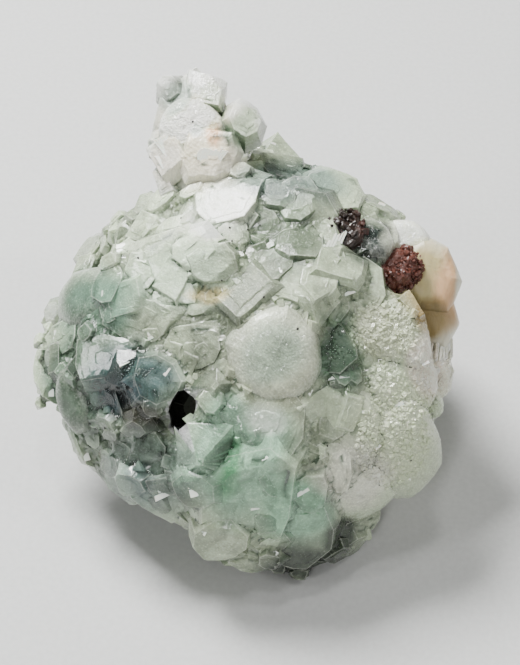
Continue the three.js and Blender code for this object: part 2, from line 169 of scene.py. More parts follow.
# Upper left crystals: milky to glassy tablets and rounded ones grown into each other, under the stilbite
# column. Apophyllite is a clear tetragonal mineral of glassy lustre, here clouded by tiny inclusions, with
# frosted, stepped growth faces.
FACE_LEAN = 43
FACE_ORIGIN = (0.74, 9.93, 24.5)
TRUE_SHARE = 0.92
LOOKED_AT = (1.9, -2.4)
GROWN_TOGETHER = (1.24, 1.24, 1)
TIP = 9
MOUND_MIDDLE = (0.0, -9.5)
MOUND_BULGE = 29
MOUND_FULLNESS = 2.3
MOUND_REACH = [36, 39, 38, 37.5, 37, 35, 35, 34.5, 37, 33.5, 31.5, 30, 34, 35, 33, 34]
AXIS_FOLLOWS_MOUND = 0.6
STEEPEST_AXIS = 62
SEED_STEP = 97
AIM_DEPTH = 12

face_to_row = Matrix.Translation(FACE_ORIGIN) @ Matrix.Rotation(math.radians(FACE_LEAN), 4, "X")
UP = Vector((0, 0, 1))

# Vector noise starts from the clock unless it has a seed, and every run has to give the same crystals.
NOISE_SEED = 1
noise.seed_set(NOISE_SEED)


def random_from(seed):
    """A repeatable stream of numbers from 0 to 1."""
    state = [seed]

    def draw():
        state[0] = (state[0] * 16807) % 2147483647
        return state[0] / 2147483647

    return draw


def jitter(random):
    """A random vector, each part from -0.5 to 0.5."""
    return Vector((random() - 0.5, random() - 0.5, random() - 0.5))


def new_seed(random):
    """A seed for one crystal."""
    return 1 + int(random() * 1e6)


def reach_at(across, along):
    """The mound's reach in one direction across the display face."""
    steps = len(MOUND_REACH)
    turn = ((math.atan2(along, across) / (2 * math.pi) + 1) * steps) % steps
    first = int(turn)
    return MOUND_REACH[first] + (MOUND_REACH[(first + 1) % steps] - MOUND_REACH[first]) * (turn - first)


def mound_height(x, y):
    """How far the mound stands out of the display face's plane."""
    across, along = x - MOUND_MIDDLE[0], y - MOUND_MIDDLE[1]
    share = math.hypot(across, along) / reach_at(across, along)
    return MOUND_BULGE * max(0.0, 1 - share**MOUND_FULLNESS) ** (1 / MOUND_FULLNESS)


def mound_point(direction, sink):
    """Where a direction from the mound's middle leaves it, in the display face's frame."""
    flat = math.hypot(direction.x, direction.y) / reach_at(direction.x, direction.y)
    deep = abs(direction.z) / MOUND_BULGE
    reach = (flat**MOUND_FULLNESS + deep**MOUND_FULLNESS) ** (-1 / MOUND_FULLNESS)
    return direction * (reach - sink) + Vector((*MOUND_MIDDLE, 0))


def axis_of(x, y, turn, on_mound):
    """A crystal's own axis: partly the mound's slope, partly its own turn to the right and upwards."""
    follow = AXIS_FOLLOWS_MOUND if on_mound else 0.0
    right = follow * math.degrees(math.atan(mound_height(x - 0.5, y) - mound_height(x + 0.5, y))) + turn[0]
    up = follow * math.degrees(math.atan(mound_height(x, y - 0.5) - mound_height(x, y + 0.5))) + turn[1]
    limited = [max(-STEEPEST_AXIS, min(STEEPEST_AXIS, angle)) for angle in (right, up)]
    return Vector((math.tan(math.radians(limited[0])), math.tan(math.radians(limited[1])), 1)).normalized()


def standing(centre, axis, spin):
    """The matrix that stands a crystal at a place along an axis, turned about it by spin degrees."""
    turn = UP.rotation_difference(axis).to_matrix().to_4x4()
    return Matrix.Translation(centre) @ turn @ Matrix.Rotation(math.radians(spin), 4, "Z")


def cut_square(cut):
    """A square whose corners are cut off. At 1 it is the square alone."""
    corners = [(1, -cut), (1, cut), (cut, 1), (-cut, 1), (-1, cut), (-1, -cut), (-cut, -1), (cut, -1)]
    return corners if cut < 1 else corners[1::2]


def regular(count):
    """The corners of a regular polygon."""
    angles = [(i + 0.5) * math.tau / count for i in range(count)]
    return [(math.cos(angle), math.sin(angle)) for angle in angles]


# Each habit: its outline, how uneven that is, and its rings as (height, width), at unit size.
HABITS = {
    "tablet": (cut_square(0.52), 0.15, [(-1, 0.75), (0.3, 1), (1, 0.76)]),
    "disc": (regular(8), 0.09, [(-1, 0.7), (0.2, 1), (1, 0.66)]),
    "boulder": (regular(7), 0.14, [(-1, 0.5), (0, 1), (0.65, 0.8), (1, 0.42)]),
    "block": (cut_square(1), 0.08, [(-1, 0.9), (0.6, 1), (1, 0.8)]),
    "point": (cut_square(1), 0.08, [(-1, 0.9), (0.1, 1), (1, 0.12)]),
    "blade": (cut_square(1), 0.08, [(-1, 0.8), (0, 1), (1, 0.55)]),
    "shard": (regular(3), 0.12, [(-1, 0.8), (0.4, 1), (1, 0.82)]),
}
CHAMFER = 0.14
GROOVE = 0.1
# EDGE_LINE: the width of the rings at each key edge that get the full rim, which the apophyllite materials
# paint as a whiter line, partly frost and partly painted highlight.
EDGE_LINE = 0.16
STEP_RISE = 0.22
FACETS = 3
WARP = 0.16
WARP_SCALE = 0.2
CLEAR_OF_BOX = 0.02 * MM
BROKEN_EDGE_LIFT = 0.8 * MM
MORE_HUE = 1.2


def new_mass():
    return {"points": [], "faces": [], "looks": [], "growth": []}


def add_rings(mass, rings, matrix, look, tint):
    """Joins rings of points, each (points, rim, depth), into one closed skin."""
    count = len(rings[0][0])
    first = len(mass["points"])
    for points, rim, depth in rings:
        rims = rim if isinstance(rim, list) else [rim] * count
        for point, own_rim in zip(points, rims):
            mass["points"].append(matrix @ point)
            mass["growth"].append((own_rim, tint, depth, 1.0))
    for level in range(len(rings) - 1):
        low, high = first + level * count, first + (level + 1) * count
        for i in range(count):
            j = (i + 1) % count
            mass["faces"].append((low + i, low + j, high + j, high + i))
            mass["looks"].append(look)
    mass["faces"].append(tuple(first + i for i in reversed(range(count))))
    mass["looks"].append(look)
    top = first + (len(rings) - 1) * count
    mass["faces"].append(tuple(top + i for i in range(count)))
    mass["looks"].append(look)


def detailed_outline(corners, size, random, spacing):
    """The outline with chamfered corners and grooved sides, as (x, y, inset, is_corner)."""
    points = []
    mean = (size[0] + size[1]) / 2
    for i, (x0, y0) in enumerate(corners):
        x1, y1 = corners[(i + 1) % len(corners)]
        length = math.hypot((x1 - x0) * size[0], (y1 - y0) * size[1])
        trim = min(0.2, CHAMFER / max(length, 0.01))
        pieces = max(1, min(14, round(length / spacing)))
        inner = [2 * trim + (1 - 4 * trim) * j / pieces for j in range(pieces + 1)]
        inset = 0.0
        for along in (trim, *inner, 1 - trim):
            on_edge = along in (trim, 1 - trim)
            if not on_edge and random() < 0.5:
                inset = GROOVE / mean * random()
            own_inset = 0.0 if on_edge else inset
            points.append((x0 + (x1 - x0) * along, y0 + (y1 - y0) * along, own_inset, on_edge))
    return points


def grow(mass, entry, matrix, seed, looks, spacing=0.8, fine=True):
    """One crystal with chamfered edges, grooved sides and a top face of low growth steps."""
    habit, look, _, size, _, _ = entry
    outline, uneven, key_rings = HABITS[habit]
    random = random_from(seed)
    reach = [1 + uneven * (2 * random() - 1) for _ in outline]
    drift = [uneven * (2 * random() - 1) for _ in range(2)]
    corners = [(x * r, y * r) for (x, y), r in zip(outline, reach)]
    edge = detailed_outline(corners, size, random, spacing)
    mean = (size[0] + size[1]) / 2
    soft = min(0.08, CHAMFER / mean)
    levels = []
    for (level, share), (next_level, next_share) in zip(key_rings, key_rings[1:]):
        rise = (next_level - level) * size[2]
        parts = max(2, min(7, round(rise / spacing))) if fine else 1
        for part in range(parts):
            t = part / parts
            wander = 0.0 if part == 0 else (random() - 0.5) * 0.03
            on_key = part == 0 and level > -1
            if on_key:
                levels.append((level - EDGE_LINE / size[2], share - 0.01, 0.1))
            between = share + (next_share - share) * t + wander
            levels.append((level + (next_level - level) * t, between, on_key * 1.0))
            if on_key:
                levels.append((level + EDGE_LINE / size[2], share - 0.02, 0.1))
    top_level, top_share = key_rings[-1]
    levels.append((top_level - soft * 0.9, top_share + soft * 0.9, 0.1))
    levels.append((top_level - soft * 0.4, top_share + soft * 0.5, 1.0))
    levels.append((top_level, top_share - soft * 0.5, 1.0))
    levels.append((top_level, top_share - soft * 1.4, 0.1))
    plateau, level = top_share - soft * 1.5, top_level
    steps = [(0.86, 0), (0.82, 1), (0.6, 0), (0.56, 1), (0.3, 0), (0.26, 1), (0.06, 0)]
    steps = steps if fine and top_share > 0.3 else [(0.7, 0), (0.64, 1)]
    lean = [random() - 0.5, random() - 0.5]
    for share_of, is_step in steps:
        if is_step:
            level += (STEP_RISE / size[2]) * (random() - 0.35)
        levels.append((level, plateau * share_of, 0.55 * is_step))
    rings = []
    for number, (level, share, rim) in enumerate(levels):
        inner = share < plateau * 0.95 and level >= top_level - 0.2
        points, rims = [], []
        for x, y, inset, on_edge in edge:
            keep = share * (1 - inset)
            rims.append(max(rim, 0.8 * on_edge * (not inner)))
            if inner:
                keep *= 1 + 0.14 * noise.noise(Vector((x * 2.3, y * 2.3, number // 2 + seed * 0.37)))
            offset = (1 - share / max(plateau, 0.01)) * 0.5 if inner else 0.0
            points.append(
                Vector(
                    (
                        size[0] * (x * keep + drift[0] * level + lean[0] * offset * plateau),
                        size[1] * (y * keep + drift[1] * level + lean[1] * offset * plateau),
                        size[2] * level,
                    )
                )
            )
        rings.append((points, rims, (level + 1) / 2))
    for _ in range(FACETS if mean > 1.6 else 1):
        slope, around = math.radians(28 + 34 * random()), math.tau * random()
        flat = math.sin(slope)
        normal = Vector((flat * math.cos(around), flat * math.sin(around), math.cos(slope)))
        normal = Vector((normal.x / size[0], normal.y / size[1], normal.z / size[2])).normalized()
        farthest = max(point.dot(normal) for points, _, _ in rings for point in points)
        cut = farthest * (0.8 + 0.14 * random())
        for points, _, _ in rings:
            for point in points:
                point -= normal * max(0.0, point.dot(normal) - cut)
    start = len(mass["points"])
    add_rings(mass, rings, matrix, looks.index(look), random())
    for i in range(start, len(mass["points"])):
        point = mass["points"][i]
        shift = noise.noise_vector(point * WARP_SCALE + Vector((seed, 0, 0)))
        mass["points"][i] = point + shift * WARP


def plain_crystal(mass, habit, look, half, matrix, seed, looks):
    """A small crystal with sharp edges: its habit's outline and rings, a little uneven."""
    outline, uneven, key_rings = HABITS[habit]
    random = random_from(seed)
    reach = [1 + 2 * uneven * (2 * random() - 1) for _ in outline]
    wide, high = half * (0.75 + 0.4 * random()), half * (0.8 + 0.5 * random())
    rings = []
    for level, share in key_rings:
        points = []
        for (x, y), r in zip(outline, reach):
            points.append(Vector((half * x * r * share, wide * y * r * share, high * level)))
        rings.append((points, 0.2, (level + 1) / 2))
    add_rings(mass, rings, matrix, looks.index(look), random())


def dome(mass, entry, matrix, seed, looks, spacing=0.5, grain=0.22, grain_scale=1.1, facet=0.35, blunt=0.62):
    """A rounded, sugary crystal: a blunt egg whose skin is covered in small grains."""
    habit, look, _, size, _, _ = entry
    random = random_from(seed)
    outline, uneven, _ = HABITS[habit]
    reach = [1 + uneven * (2 * random() - 1) for _ in outline]
    drift = [uneven * (2 * random() - 1) for _ in range(2)]
    around = max(24, min(140, round(math.tau * (size[0] + size[1]) / 2 / spacing)))
    up = max(10, min(72, round(math.pi * size[2] * 1.2 / spacing)))
    corner_count = len(outline)
    rings = []
    for ring in range(up + 1):
        tilt = math.pi * (ring + 0.25) / (up + 0.5)
        level, share = -math.cos(tilt), abs(math.sin(tilt)) ** blunt
        points = []
        for i in range(around):
            angle = math.tau * i / around
            place = (angle / math.tau * corner_count - 0.5) % corner_count
            first = int(place) % corner_count
            blend = place - int(place)
            side = reach[first] + (reach[(first + 1) % corner_count] - reach[first]) * blend
            flat = math.cos(math.pi / corner_count) / math.cos((blend - 0.5) * math.tau / corner_count)
            radius = side * (1 - facet + facet * flat)
            points.append(
                Vector(
                    (
                        size[0] * (math.cos(angle) * radius * share + drift[0] * level),
                        size[1] * (math.sin(angle) * radius * share + drift[1] * level),
                        size[2] * level,
                    )
                )
            )
        rings.append((points, 0.4 + 0.6 * share, (level + 1) / 2))
    start = len(mass["points"])
    add_rings(mass, rings, matrix, looks.index(look), random())
    middle = matrix.translation
    for i in range(start, len(mass["points"])):
        point = mass["points"][i]
        near = noise.voronoi(point * grain_scale)[0]
        out = (point - middle).normalized()
        lump = 0.5 * noise.noise(point * 0.3)
        mass["points"][i] = point + out * (grain * (0.5 - near[0]) * 1.4 + grain * lump)


def true_spot(x, y):
    """A place on the display face, brought from as seen to true."""
    return [middle + (seen - middle) * TRUE_SHARE for middle, seen in zip(LOOKED_AT, (x, y))]


def true_place(entry, seed):
    """A crystal with its place and size brought from as seen to true, and tipped a little."""
    habit, look, (x, y, stand), size, spin, turn = entry
    random = random_from(7 * seed)
    tipped = tuple(angle + TIP * (2 * random() - 1) for angle in turn)
    grown = tuple(half * more for half, more in zip(size, GROWN_TOGETHER))
    return habit, look, (*true_spot(x, y), stand), grown, spin, tipped


def to_mesh(name, mass, materials):
    """Turns a mass into a mesh in metres."""
    mesh = bpy.data.meshes.new(name)
    mesh.from_pydata([point * MM for point in mass["points"]], [], mass["faces"])
    for material in materials:
        mesh.materials.append(material)
    mesh.polygons.foreach_set("material_index", mass["looks"])
    growth = mesh.color_attributes.new("growth", "FLOAT_COLOR", "CORNER")
    corners = [mass["growth"][point] for face in mass["faces"] for point in face]
    growth.data.foreach_set("color", [value for colour in corners for value in colour])
    return mesh


def grown_together(name, bodies, materials):
    """One solid piece out of bodies that grew through each other."""
    piece = bpy.data.objects.new(name, to_mesh(name, bodies[0], materials))
    bpy.context.scene.collection.objects.link(piece)
    others = bpy.data.collections.new(name + "_bodies")
    bpy.context.scene.collection.children.link(others)
    for body in bodies[1:]:
        others.objects.link(bpy.data.objects.new(name + "_body", to_mesh(name + "_body", body, materials)))
    union = piece.modifiers.new("grown together", "BOOLEAN")
    union.operation = "UNION"
    union.operand_type = "COLLECTION"
    union.collection = others
    union.solver = "MANIFOLD"
    evaluated = piece.evaluated_get(bpy.context.evaluated_depsgraph_get())
    whole = bpy.data.meshes.new_from_object(evaluated)
    whole.validate()
    piece.modifiers.clear()
    piece.data = whole
    for body in list(others.objects):
        bpy.data.objects.remove(body)
    bpy.data.collections.remove(others)
    return piece


def stronger(colour):
    """A linear colour with more hue than asked for, because the picture's tone curve greys pale colours."""
    value = Vector(linear(colour)[:3])
    grey = Vector((1, 1, 1)) * (sum(value) / 3)
    return grey + (value - grey) * MORE_HUE


def paint(piece, plain="#a6b099", plain_clear=0.4):
    """Gives every point of a piece the colour and clearness of its place, as the attribute zone."""
    zone = piece.data.color_attributes.new("zone", "FLOAT_COLOR", "POINT")
    row_to_face = face_to_row.inverted()
    colours = []
    tints = []
    for x, y, across, along, colour, clear in TINTS:
        tints.append((x, y, across, along, stronger(colour), clear))
    for vertex in piece.data.vertices:
        at = row_to_face @ (vertex.co / MM)
        x = LOOKED_AT[0] + (at.x - LOOKED_AT[0]) / TRUE_SHARE
        y = LOOKED_AT[1] + (at.y - LOOKED_AT[1]) / TRUE_SHARE
        wander = noise.noise_vector(at * 0.16) * 2.4
        value, clear_here = stronger(plain), plain_clear
        front = max(0.0, min(1.0, (at.z + 6) / 8))
        for zone_x, zone_y, across, along, colour, clear in tints:
            away = math.hypot((x + wander.x - zone_x) / across, (y + wander.y - zone_y) / along)
            if away < 1.15:
                share = front * min(1.0, (1.15 - away) / 0.5)
                value = value.lerp(colour, share)
                clear_here += (clear - clear_here) * share
        colours += [*value, clear_here]
    zone.data.foreach_set("color", colours)


def parallel_growth(entry, matrix, seed, looks):
    """Smaller crystals that grew out of a crystal's top, nearly parallel to it."""
    habit, look, _, size, spin, _ = entry
    random = random_from(seed + 13)
    bodies = []
    for _ in range(max(1, min(14, round(size[0] * size[1] * CROWDING[look])))):
        u, v = 1.7 * random() - 0.85, 1.7 * random() - 0.85
        far = max(abs(u), abs(v), 0.76 * math.hypot(u, v))
        level = 1.0 if far < 0.76 else 1 - (far - 0.76) * 2.9
        half = min(size[0], size[1]) * (0.28 + 0.4 * random())
        thick = half * (0.5 + 0.4 * random())
        stand = level * size[2] - thick * (0.88 + 0.14 * random())
        lean = (v * -14 + 11 * (random() - 0.5), u * 14 + 11 * (random() - 0.5))
        place = Matrix.Translation(Vector((u * size[0], v * size[1], stand)))
        turned = Matrix.Rotation(math.radians(lean[0]), 4, "X")
        turned = turned @ Matrix.Rotation(math.radians(lean[1]), 4, "Y")
        twist = Matrix.Rotation(math.radians(45 * int(2 * random()) + 16 * (random() - 0.5)), 4, "Z")
        own_size = (half, half * (0.7 + 0.3 * random()), thick)
        own_habit = ("tablet", "tablet", "block", "tablet", "point")[int(5 * random())]
        own_seed = new_seed(random)
        body = new_mass()
        own = (own_habit, look, None, own_size, 0, None)
        grow(body, own, matrix @ place @ turned @ twist, own_seed, looks, fine=False)
        bodies.append(body)
    return bodies


def grow_list(crystals, first_seed, looks, on_mound=True, crowded=True):
    """The bodies of a list of crystals."""
    bodies = []
    for i, seen in enumerate(crystals):
        own_seed = first_seed + SEED_STEP * i
        entry = true_place(seen, own_seed)
        habit, look, (x, y, stand), size, spin, turn = entry
        centre = Vector((x, y, stand + (mound_height(x, y) if on_mound else 0.0)))
        matrix = face_to_row @ standing(centre, axis_of(x, y, turn, on_mound), spin)
        body = new_mass()
        if look in GRAINS:
            dome(body, entry, matrix, own_seed, looks, **GRAINS[look])
        else:
            grow(body, entry, matrix, own_seed, looks)
        bodies.append(body)
        if crowded and look in CROWDING:
            bodies += parallel_growth(entry, matrix, own_seed, looks)
    return bodies


def set_down(piece, nodes):
    """Keeps a piece inside the CAD box and off the resting plane, hides the CAD parts it takes the place of,
    and attaches it to the root body.
    """
    low, high = cad_box
    for vertex in piece.data.vertices:
        for axis in range(3):
            vertex.co[axis] = min(max(vertex.co[axis], low[axis] + CLEAR_OF_BOX), high[axis] - CLEAR_OF_BOX)
        vertex.co.z = max(vertex.co.z, BROKEN_EDGE_LIFT)
    if piece.name not in bpy.context.scene.collection.objects:
        bpy.context.scene.collection.objects.link(piece)
    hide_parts(*nodes)
    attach(piece, "root")


def apophyllite(name, clouding, clearing, polish, frost_and_highlight, depth, relief_height):
    """Apophyllite: glassy, IOR 1.53, clouded in veils, frosted along the edges of its growth faces, where the
    whiter edge line is partly painted highlight.
    """
    material, tree, shader = new_material(name)
    place = add(tree, "ShaderNodeTexCoord").outputs["Object"]
    zone = add(tree, "ShaderNodeAttribute", {"attribute_name": "zone"})
    growth = add(tree, "ShaderNodeAttribute", {"attribute_name": "growth"})
    parts = add(tree, "ShaderNodeSeparateColor", links={"Color": growth.outputs["Color"]})
    rim, tint = parts.outputs["Red"], parts.outputs["Green"]
    # Veils of inclusions a few millimetres wide, with finer wisps in them.
    veils = add(
        tree,
        "ShaderNodeTexNoise",
        {"Scale": 260.0, "Detail": 6.0, "Roughness": 0.66, "Distortion": 0.8},
        {"Vector": place},
    ).outputs["Fac"]
    shifted = maths(tree, "MULTIPLY_ADD", tint, 0.26, clouding - 0.63)
    cloudy = maths(tree, "ADD", veils, shifted)
    cloud_mask = add(
        tree, "ShaderNodeMapRange", {"From Min": 0.3, "From Max": 0.62}, {"Value": cloudy}
    ).outputs["Result"]
    # Frost is a fine etch on the growth edges, in grains of about a third of a millimetre. The whiter line it
    # paints along the edges is partly painted highlight, where light catches them.
    etch = add(tree, "ShaderNodeTexNoise", {"Scale": 2600.0, "Detail": 3.0}, {"Vector": place}).outputs["Fac"]
    etch_and_rim = maths(tree, "MULTIPLY_ADD", etch, 0.9, -0.45)
    etch_and_rim = maths(tree, "ADD", etch_and_rim, rim)
    frost_and_edge_highlight = add(
        tree, "ShaderNodeMapRange", {"From Min": 0.6, "From Max": 1.2, "To Max": frost_and_highlight}, {"Value": etch_and_rim}
    ).outputs["Result"]
    # Fine streaks run one way in each crystal, turned by the crystal's own number.
    turn = maths(tree, "MULTIPLY", tint, math.tau)
    facing = tuple(face_to_row.to_3x3() @ UP)
    turning = {"Vector": place, "Angle": turn}
    turned = add(tree, "ShaderNodeVectorRotate", {"Axis": facing}, turning).outputs[0]
    drawn_out = maths(tree, "MULTIPLY", turned, (0.28, 1, 1), kind=VECTOR_MATHS)
    wisps = add(
        tree,
        "ShaderNodeTexNoise",
        {"Scale": 1000.0, "Detail": 5.0, "Roughness": 0.72, "Distortion": 1.0},
        {"Vector": drawn_out},
    ).outputs["Fac"]
    shade = maths(tree, "MULTIPLY_ADD", tint, 0.2, 0.28)
    shade = maths(tree, "MULTIPLY_ADD", wisps, 0.7, shade)
    shade = maths(tree, "MULTIPLY_ADD", etch, 0.5, shade)
    own_colour = add(
        tree, "ShaderNodeVectorMath", {"operation": "SCALE"}, {0: zone.outputs["Color"], "Scale": shade}
    ).outputs[0]
    whiter = maths(tree, "MULTIPLY", cloud_mask, 0.75)
    lift = (0.035, 0.038, 0.034)
    lighter = maths(tree, "MULTIPLY_ADD", own_colour, (1.5, 1.5, 1.5), lift, kind=VECTOR_MATHS)
    lighter = maths(tree, "MINIMUM", lighter, (0.84, 0.86, 0.82), kind=VECTOR_MATHS)
    clouded = add(
        tree, "ShaderNodeMix", {"data_type": "RGBA"}, {"Factor": whiter, 6: own_colour, 7: lighter}
    ).outputs[2]
    flecks = add(
        tree, "ShaderNodeMapRange", {"From Min": 0.6, "From Max": 0.7, "To Max": 0.55}, {"Value": etch}
    ).outputs["Result"]
    brightest = maths(tree, "MULTIPLY_ADD", lighter, (1.2, 1.2, 1.2), (0.05, 0.05, 0.05), kind=VECTOR_MATHS)
    clouded = add(
        tree, "ShaderNodeMix", {"data_type": "RGBA"}, {"Factor": flecks, 6: clouded, 7: brightest}
    ).outputs[2]
    frost_and_highlight_tone = add(
        tree, "ShaderNodeMix", {"data_type": "RGBA", 7: linear("#eef0e2")}, {"Factor": frost_and_edge_highlight, 6: clouded}
    ).outputs[2]
    tree.links.new(frost_and_highlight_tone, shader.inputs["Base Color"])
    open_part = add(
        tree, "ShaderNodeMapRange", {"To Min": 1.0, "To Max": clearing}, {"Value": cloud_mask}
    ).outputs["Result"]
    not_whitened = maths(tree, "MULTIPLY_ADD", frost_and_edge_highlight, -0.7, 1.0)
    passing = maths(tree, "MULTIPLY", open_part, not_whitened)
    passing = maths(tree, "MULTIPLY", passing, zone.outputs["Alpha"])
    tree.links.new(passing, shader.inputs["Transmission Weight"])
    gloss = add(
        tree, "ShaderNodeMapRange", {"To Min": polish[0], "To Max": polish[1]}, {"Value": frost_and_edge_highlight}
    ).outputs["Result"]
    tree.links.new(gloss, shader.inputs["Roughness"])
    relief = maths(tree, "MULTIPLY_ADD", wisps, 1.6, etch)
    bump = add(tree, "ShaderNodeBump", {"Strength": 0.5, "Distance": relief_height}, {"Height": relief})
    tree.links.new(bump.outputs["Normal"], shader.inputs["Normal"])
    shader.inputs["IOR"].default_value = 1.53
    shader.inputs["Coat Weight"].default_value = 0.4
    shader.inputs["Coat Roughness"].default_value = 0.06
    shader.inputs["Subsurface Weight"].default_value = 0.5
    shader.inputs["Subsurface Radius"].default_value = (0.95, 1.0, 0.9)
    shader.inputs["Subsurface Scale"].default_value = depth
    return material


# Zones of the cluster as seen on the display face: x, y, reach across and along, colour, clearness.
TINTS = [
    (-6, 20, 8, 6, "#ccd3c2", 0.15),
    (-4.2, 23.6, 5.6, 6.4, "#dfe2d3", 0.05),
    (-14, 8, 11, 8, "#acbaa4", 0.25),
    (-30.4, 3.2, 10, 8, "#728d7a", 0.5),
    (-34, -12, 9, 15, "#617361", 0.55),
    (-23.5, -12.5, 10, 9, "#4c635e", 0.85),
    (-25, -16, 5, 5, "#36464a", 0.9),
    (-21.4, -19.5, 5, 3.6, "#45463a", 0.5),
    (-20, -30, 14, 9, "#77877a", 0.65),
    (-21.7, -31.6, 3.4, 3.6, "#4f6059", 0.75),
    (-2.5, -26, 12, 14, "#94b29a", 0.5),
    (-4.6, -27.5, 2.4, 8, "#5f8f6b", 0.6),
    # Painted sheen: this paler patch on the green prism stands for a soft highlight.
    (2.6, -18.4, 4.4, 3.6, "#c9d6c6", 0.25),
    (9, -37, 8, 8, "#8fb297", 0.45),
    # Painted shade: these two near-black olive zones darken the bottom front where the crystals meet the
    # resting surface.
    (11, -49, 11, 5.6, "#1b2814", 0.1),
    (18, -42.6, 4.6, 5, "#26331f", 0.15),
    (18.5, -5.7, 8, 7.4, "#5b745d", 0.6),
    (-6.5, -5, 6, 9, "#939c88", 0.55),
    (6, 17, 8, 9, "#818f79", 0.5),
    (8, 28, 13, 5, "#748378", 0.6),
    (24, 15.5, 5.2, 5.2, "#262f2b", 0.5),
    (28, -22, 10, 13, "#b7bfa6", 0.05),
    (20, -30, 8, 7, "#bfc0b2", 0.15),
    (27, -2, 8, 7, "#a9ae97", 0.1),
    (5, -6.6, 9.2, 9.4, "#c0c1aa", 0.1),
    (4.4, -6, 7.4, 7.4, "#aebba8", 0.15),
    (5.8, -7, 3, 4.6, "#a0ad9b", 0.3),
    (-8, 5, 4.4, 1.6, "#c4bb92", 0.2),
    (-10, 38, 9, 11, "#f0e9d4", 0.05),
    (-6.6, 38, 2, 3.6, "#e3c2a2", 0),
    (-17, 31.4, 4, 5, "#efebdf", 0),
    (-10.8, 37.4, 2, 2, "#c3c9c0", 0.3),
    (-15.5, 45, 4, 4, "#a9b3a8", 0.7),
    (-8.3, 45.4, 3.6, 2.4, "#bfc7b4", 0.5),
    (-0.9, 38.8, 3.6, 5, "#b4bfa9", 0.5),
    (30.4, 16.4, 5, 4, "#cbcfbe", 0.1),
    (35, 8, 6, 8, "#b5aa84", 0),
    (39.6, 6, 2.4, 9, "#c8a887", 0),
    (36.4, 0, 4, 5, "#897957", 0),
    (35.6, -9.4, 4, 6.4, "#cdc4b6", 0.1),
]
CROWDING = {"milky": 0.1, "glassy": 0.12, "smooth": 0.03, "clear": 0.045}
milky = apophyllite("apophyllite_milky", 0.56, 0.25, (0.12, 0.4), 0.4, 0.5 * MM, 0.3 * MM)
glassy = apophyllite("apophyllite_glassy", 0.42, 0.45, (0.06, 0.3), 0.34, 0.7 * MM, 0.22 * MM)
frosted = apophyllite("apophyllite_frosted", 0.8, 0.1, (0.3, 0.6), 0.6, 0.2 * MM, 1.4 * MM)
GRAINS = {
    "frosted": {"grain": 0.22, "grain_scale": 1.15, "spacing": 0.36},
    "round": {"grain": 0.08, "grain_scale": 1.6, "facet": 0.5, "blunt": 0.4},
    "pool": {"grain": 0.05, "grain_scale": 0.6, "facet": 0.6, "blunt": 0.5},
    "cream": {"grain": 0.07, "grain_scale": 1.1, "facet": 0.9, "blunt": 0.42},
}
LOOKS = ["milky", "glassy", "frosted", "smooth", "clear", "round", "pool"]
APOPHYLLITES = [milky, glassy, frosted, milky, glassy, milky, glassy]

UPPER_LEFT = [
    ("boulder", "milky", (-19, 19.5, -2), (7.6, 4.8, 6), 10, (-6, 10)),
    ("tablet", "milky", (-15, 8.5, -1), (10, 6.6, 7), 12, (0, -6)),
    ("disc", "milky", (-8.4, 11.6, 1), (5.6, 5.2, 4.4), 0, (10, 4)),
    ("tablet", "milky", (-18.6, 1.6, -1), (7, 4.4, 5.5), -8, (-4, -26)),
    ("boulder", "glassy", (-25.6, 17.4, -1), (3.7, 3.8, 4), 30, (-8, 6)),
    ("tablet", "glassy", (-30.8, 12.4, -2), (4.2, 4.4, 5), 42, (-6, 8)),
    ("point", "milky", (-24.2, 13.6, 1.5), (3, 2.4, 3), 30, (-22, -8)),
]
grown_pieces = []


def grow_region(name, crystals, first_seed):
    """Grows one region's crystals into one painted piece, and gives the next region's seed."""
    piece = grown_together(name, grow_list(crystals, first_seed, LOOKS), APOPHYLLITES)
    paint(piece)
    set_down(piece, ["apophyllite_crystals"])
    grown_pieces.append(piece)
    return first_seed + SEED_STEP * len(crystals)


seed = 1009
seed = grow_region("upper_left_crystals", UPPER_LEFT, seed)


# Left crystals: a smooth mint tablet and the pale, rounded ones along the left edge, round a smoky group.
LEFT = [
    ("disc", "pool", (-30.4, 3.2, -1.5), (7.4, 5.8, 6.5), 6, (-2, 8)),
    ("tablet", "glassy", (-39.6, 0.4, 3), (2.2, 3.3, 3), 10, (-10, 4)),
    ("tablet", "milky", (-35, -3.8, -0.5), (4.4, 3.6, 4.4), 20, (-2, -6)),
    ("boulder", "milky", (-40, -9.8, 3), (3.1, 6.4, 4.5), 6, (-14, 0)),
    ("blade", "glassy", (-37, -8, 2), (2.2, 4.4, 3.6), 8, (0, 0)),
    ("disc", "pool", (-33.8, -15.2, 1.5), (3.6, 5.6, 4.2), 12, (8, -4)),
    ("tablet", "clear", (-26, -8.4, -1.5), (6.4, 5, 5), -8, (4, 10)),
    ("tablet", "clear", (-27.2, -16, -3.2), (5.4, 4.8, 5), 22, (-8, -6)),
    ("disc", "clear", (-17.8, -11.4, 0.2), (5.5, 5.8, 4.4), 20, (6, 4)),
    ("boulder", "glassy", (-21.4, -19.2, -0.4), (5.4, 3.6, 4.4), 12, (-4, -16)),
]
seed = grow_region("left_crystals", LEFT, seed)


# Lower left crystals: glassy and milky tablets, a blade and two rounded ones, that step down to the resting
# surface.
LOWER_LEFT = [
    ("tablet", "milky", (-15.8, -31.6, 0), (6.8, 5.6, 5.4), -26, (6, -8)),
    ("tablet", "glassy", (-22.2, -30, -1), (5.4, 4.2, 5), -30, (-14, -14)),
    ("tablet", "glassy", (-18.4, -24.6, -1.2), (4.6, 3.8, 4.6), 36, (0, 10)),
    ("blade", "glassy", (-32.6, -23.4, 1), (2.9, 6.6, 4), 16, (-16, -2)),
    ("boulder", "glassy", (-27.6, -28.4, 0.5), (3.2, 3.2, 4), 0, (-10, -12)),
    ("tablet", "glassy", (-10.8, -35.8, -1), (6, 3.9, 5), -24, (0, -18)),
    ("boulder", "glassy", (-8, -40.6, 6), (3.4, 2.2, 3.6), -20, (-4, -24)),
]
seed = grow_region("lower_left_crystals", LOWER_LEFT, seed)


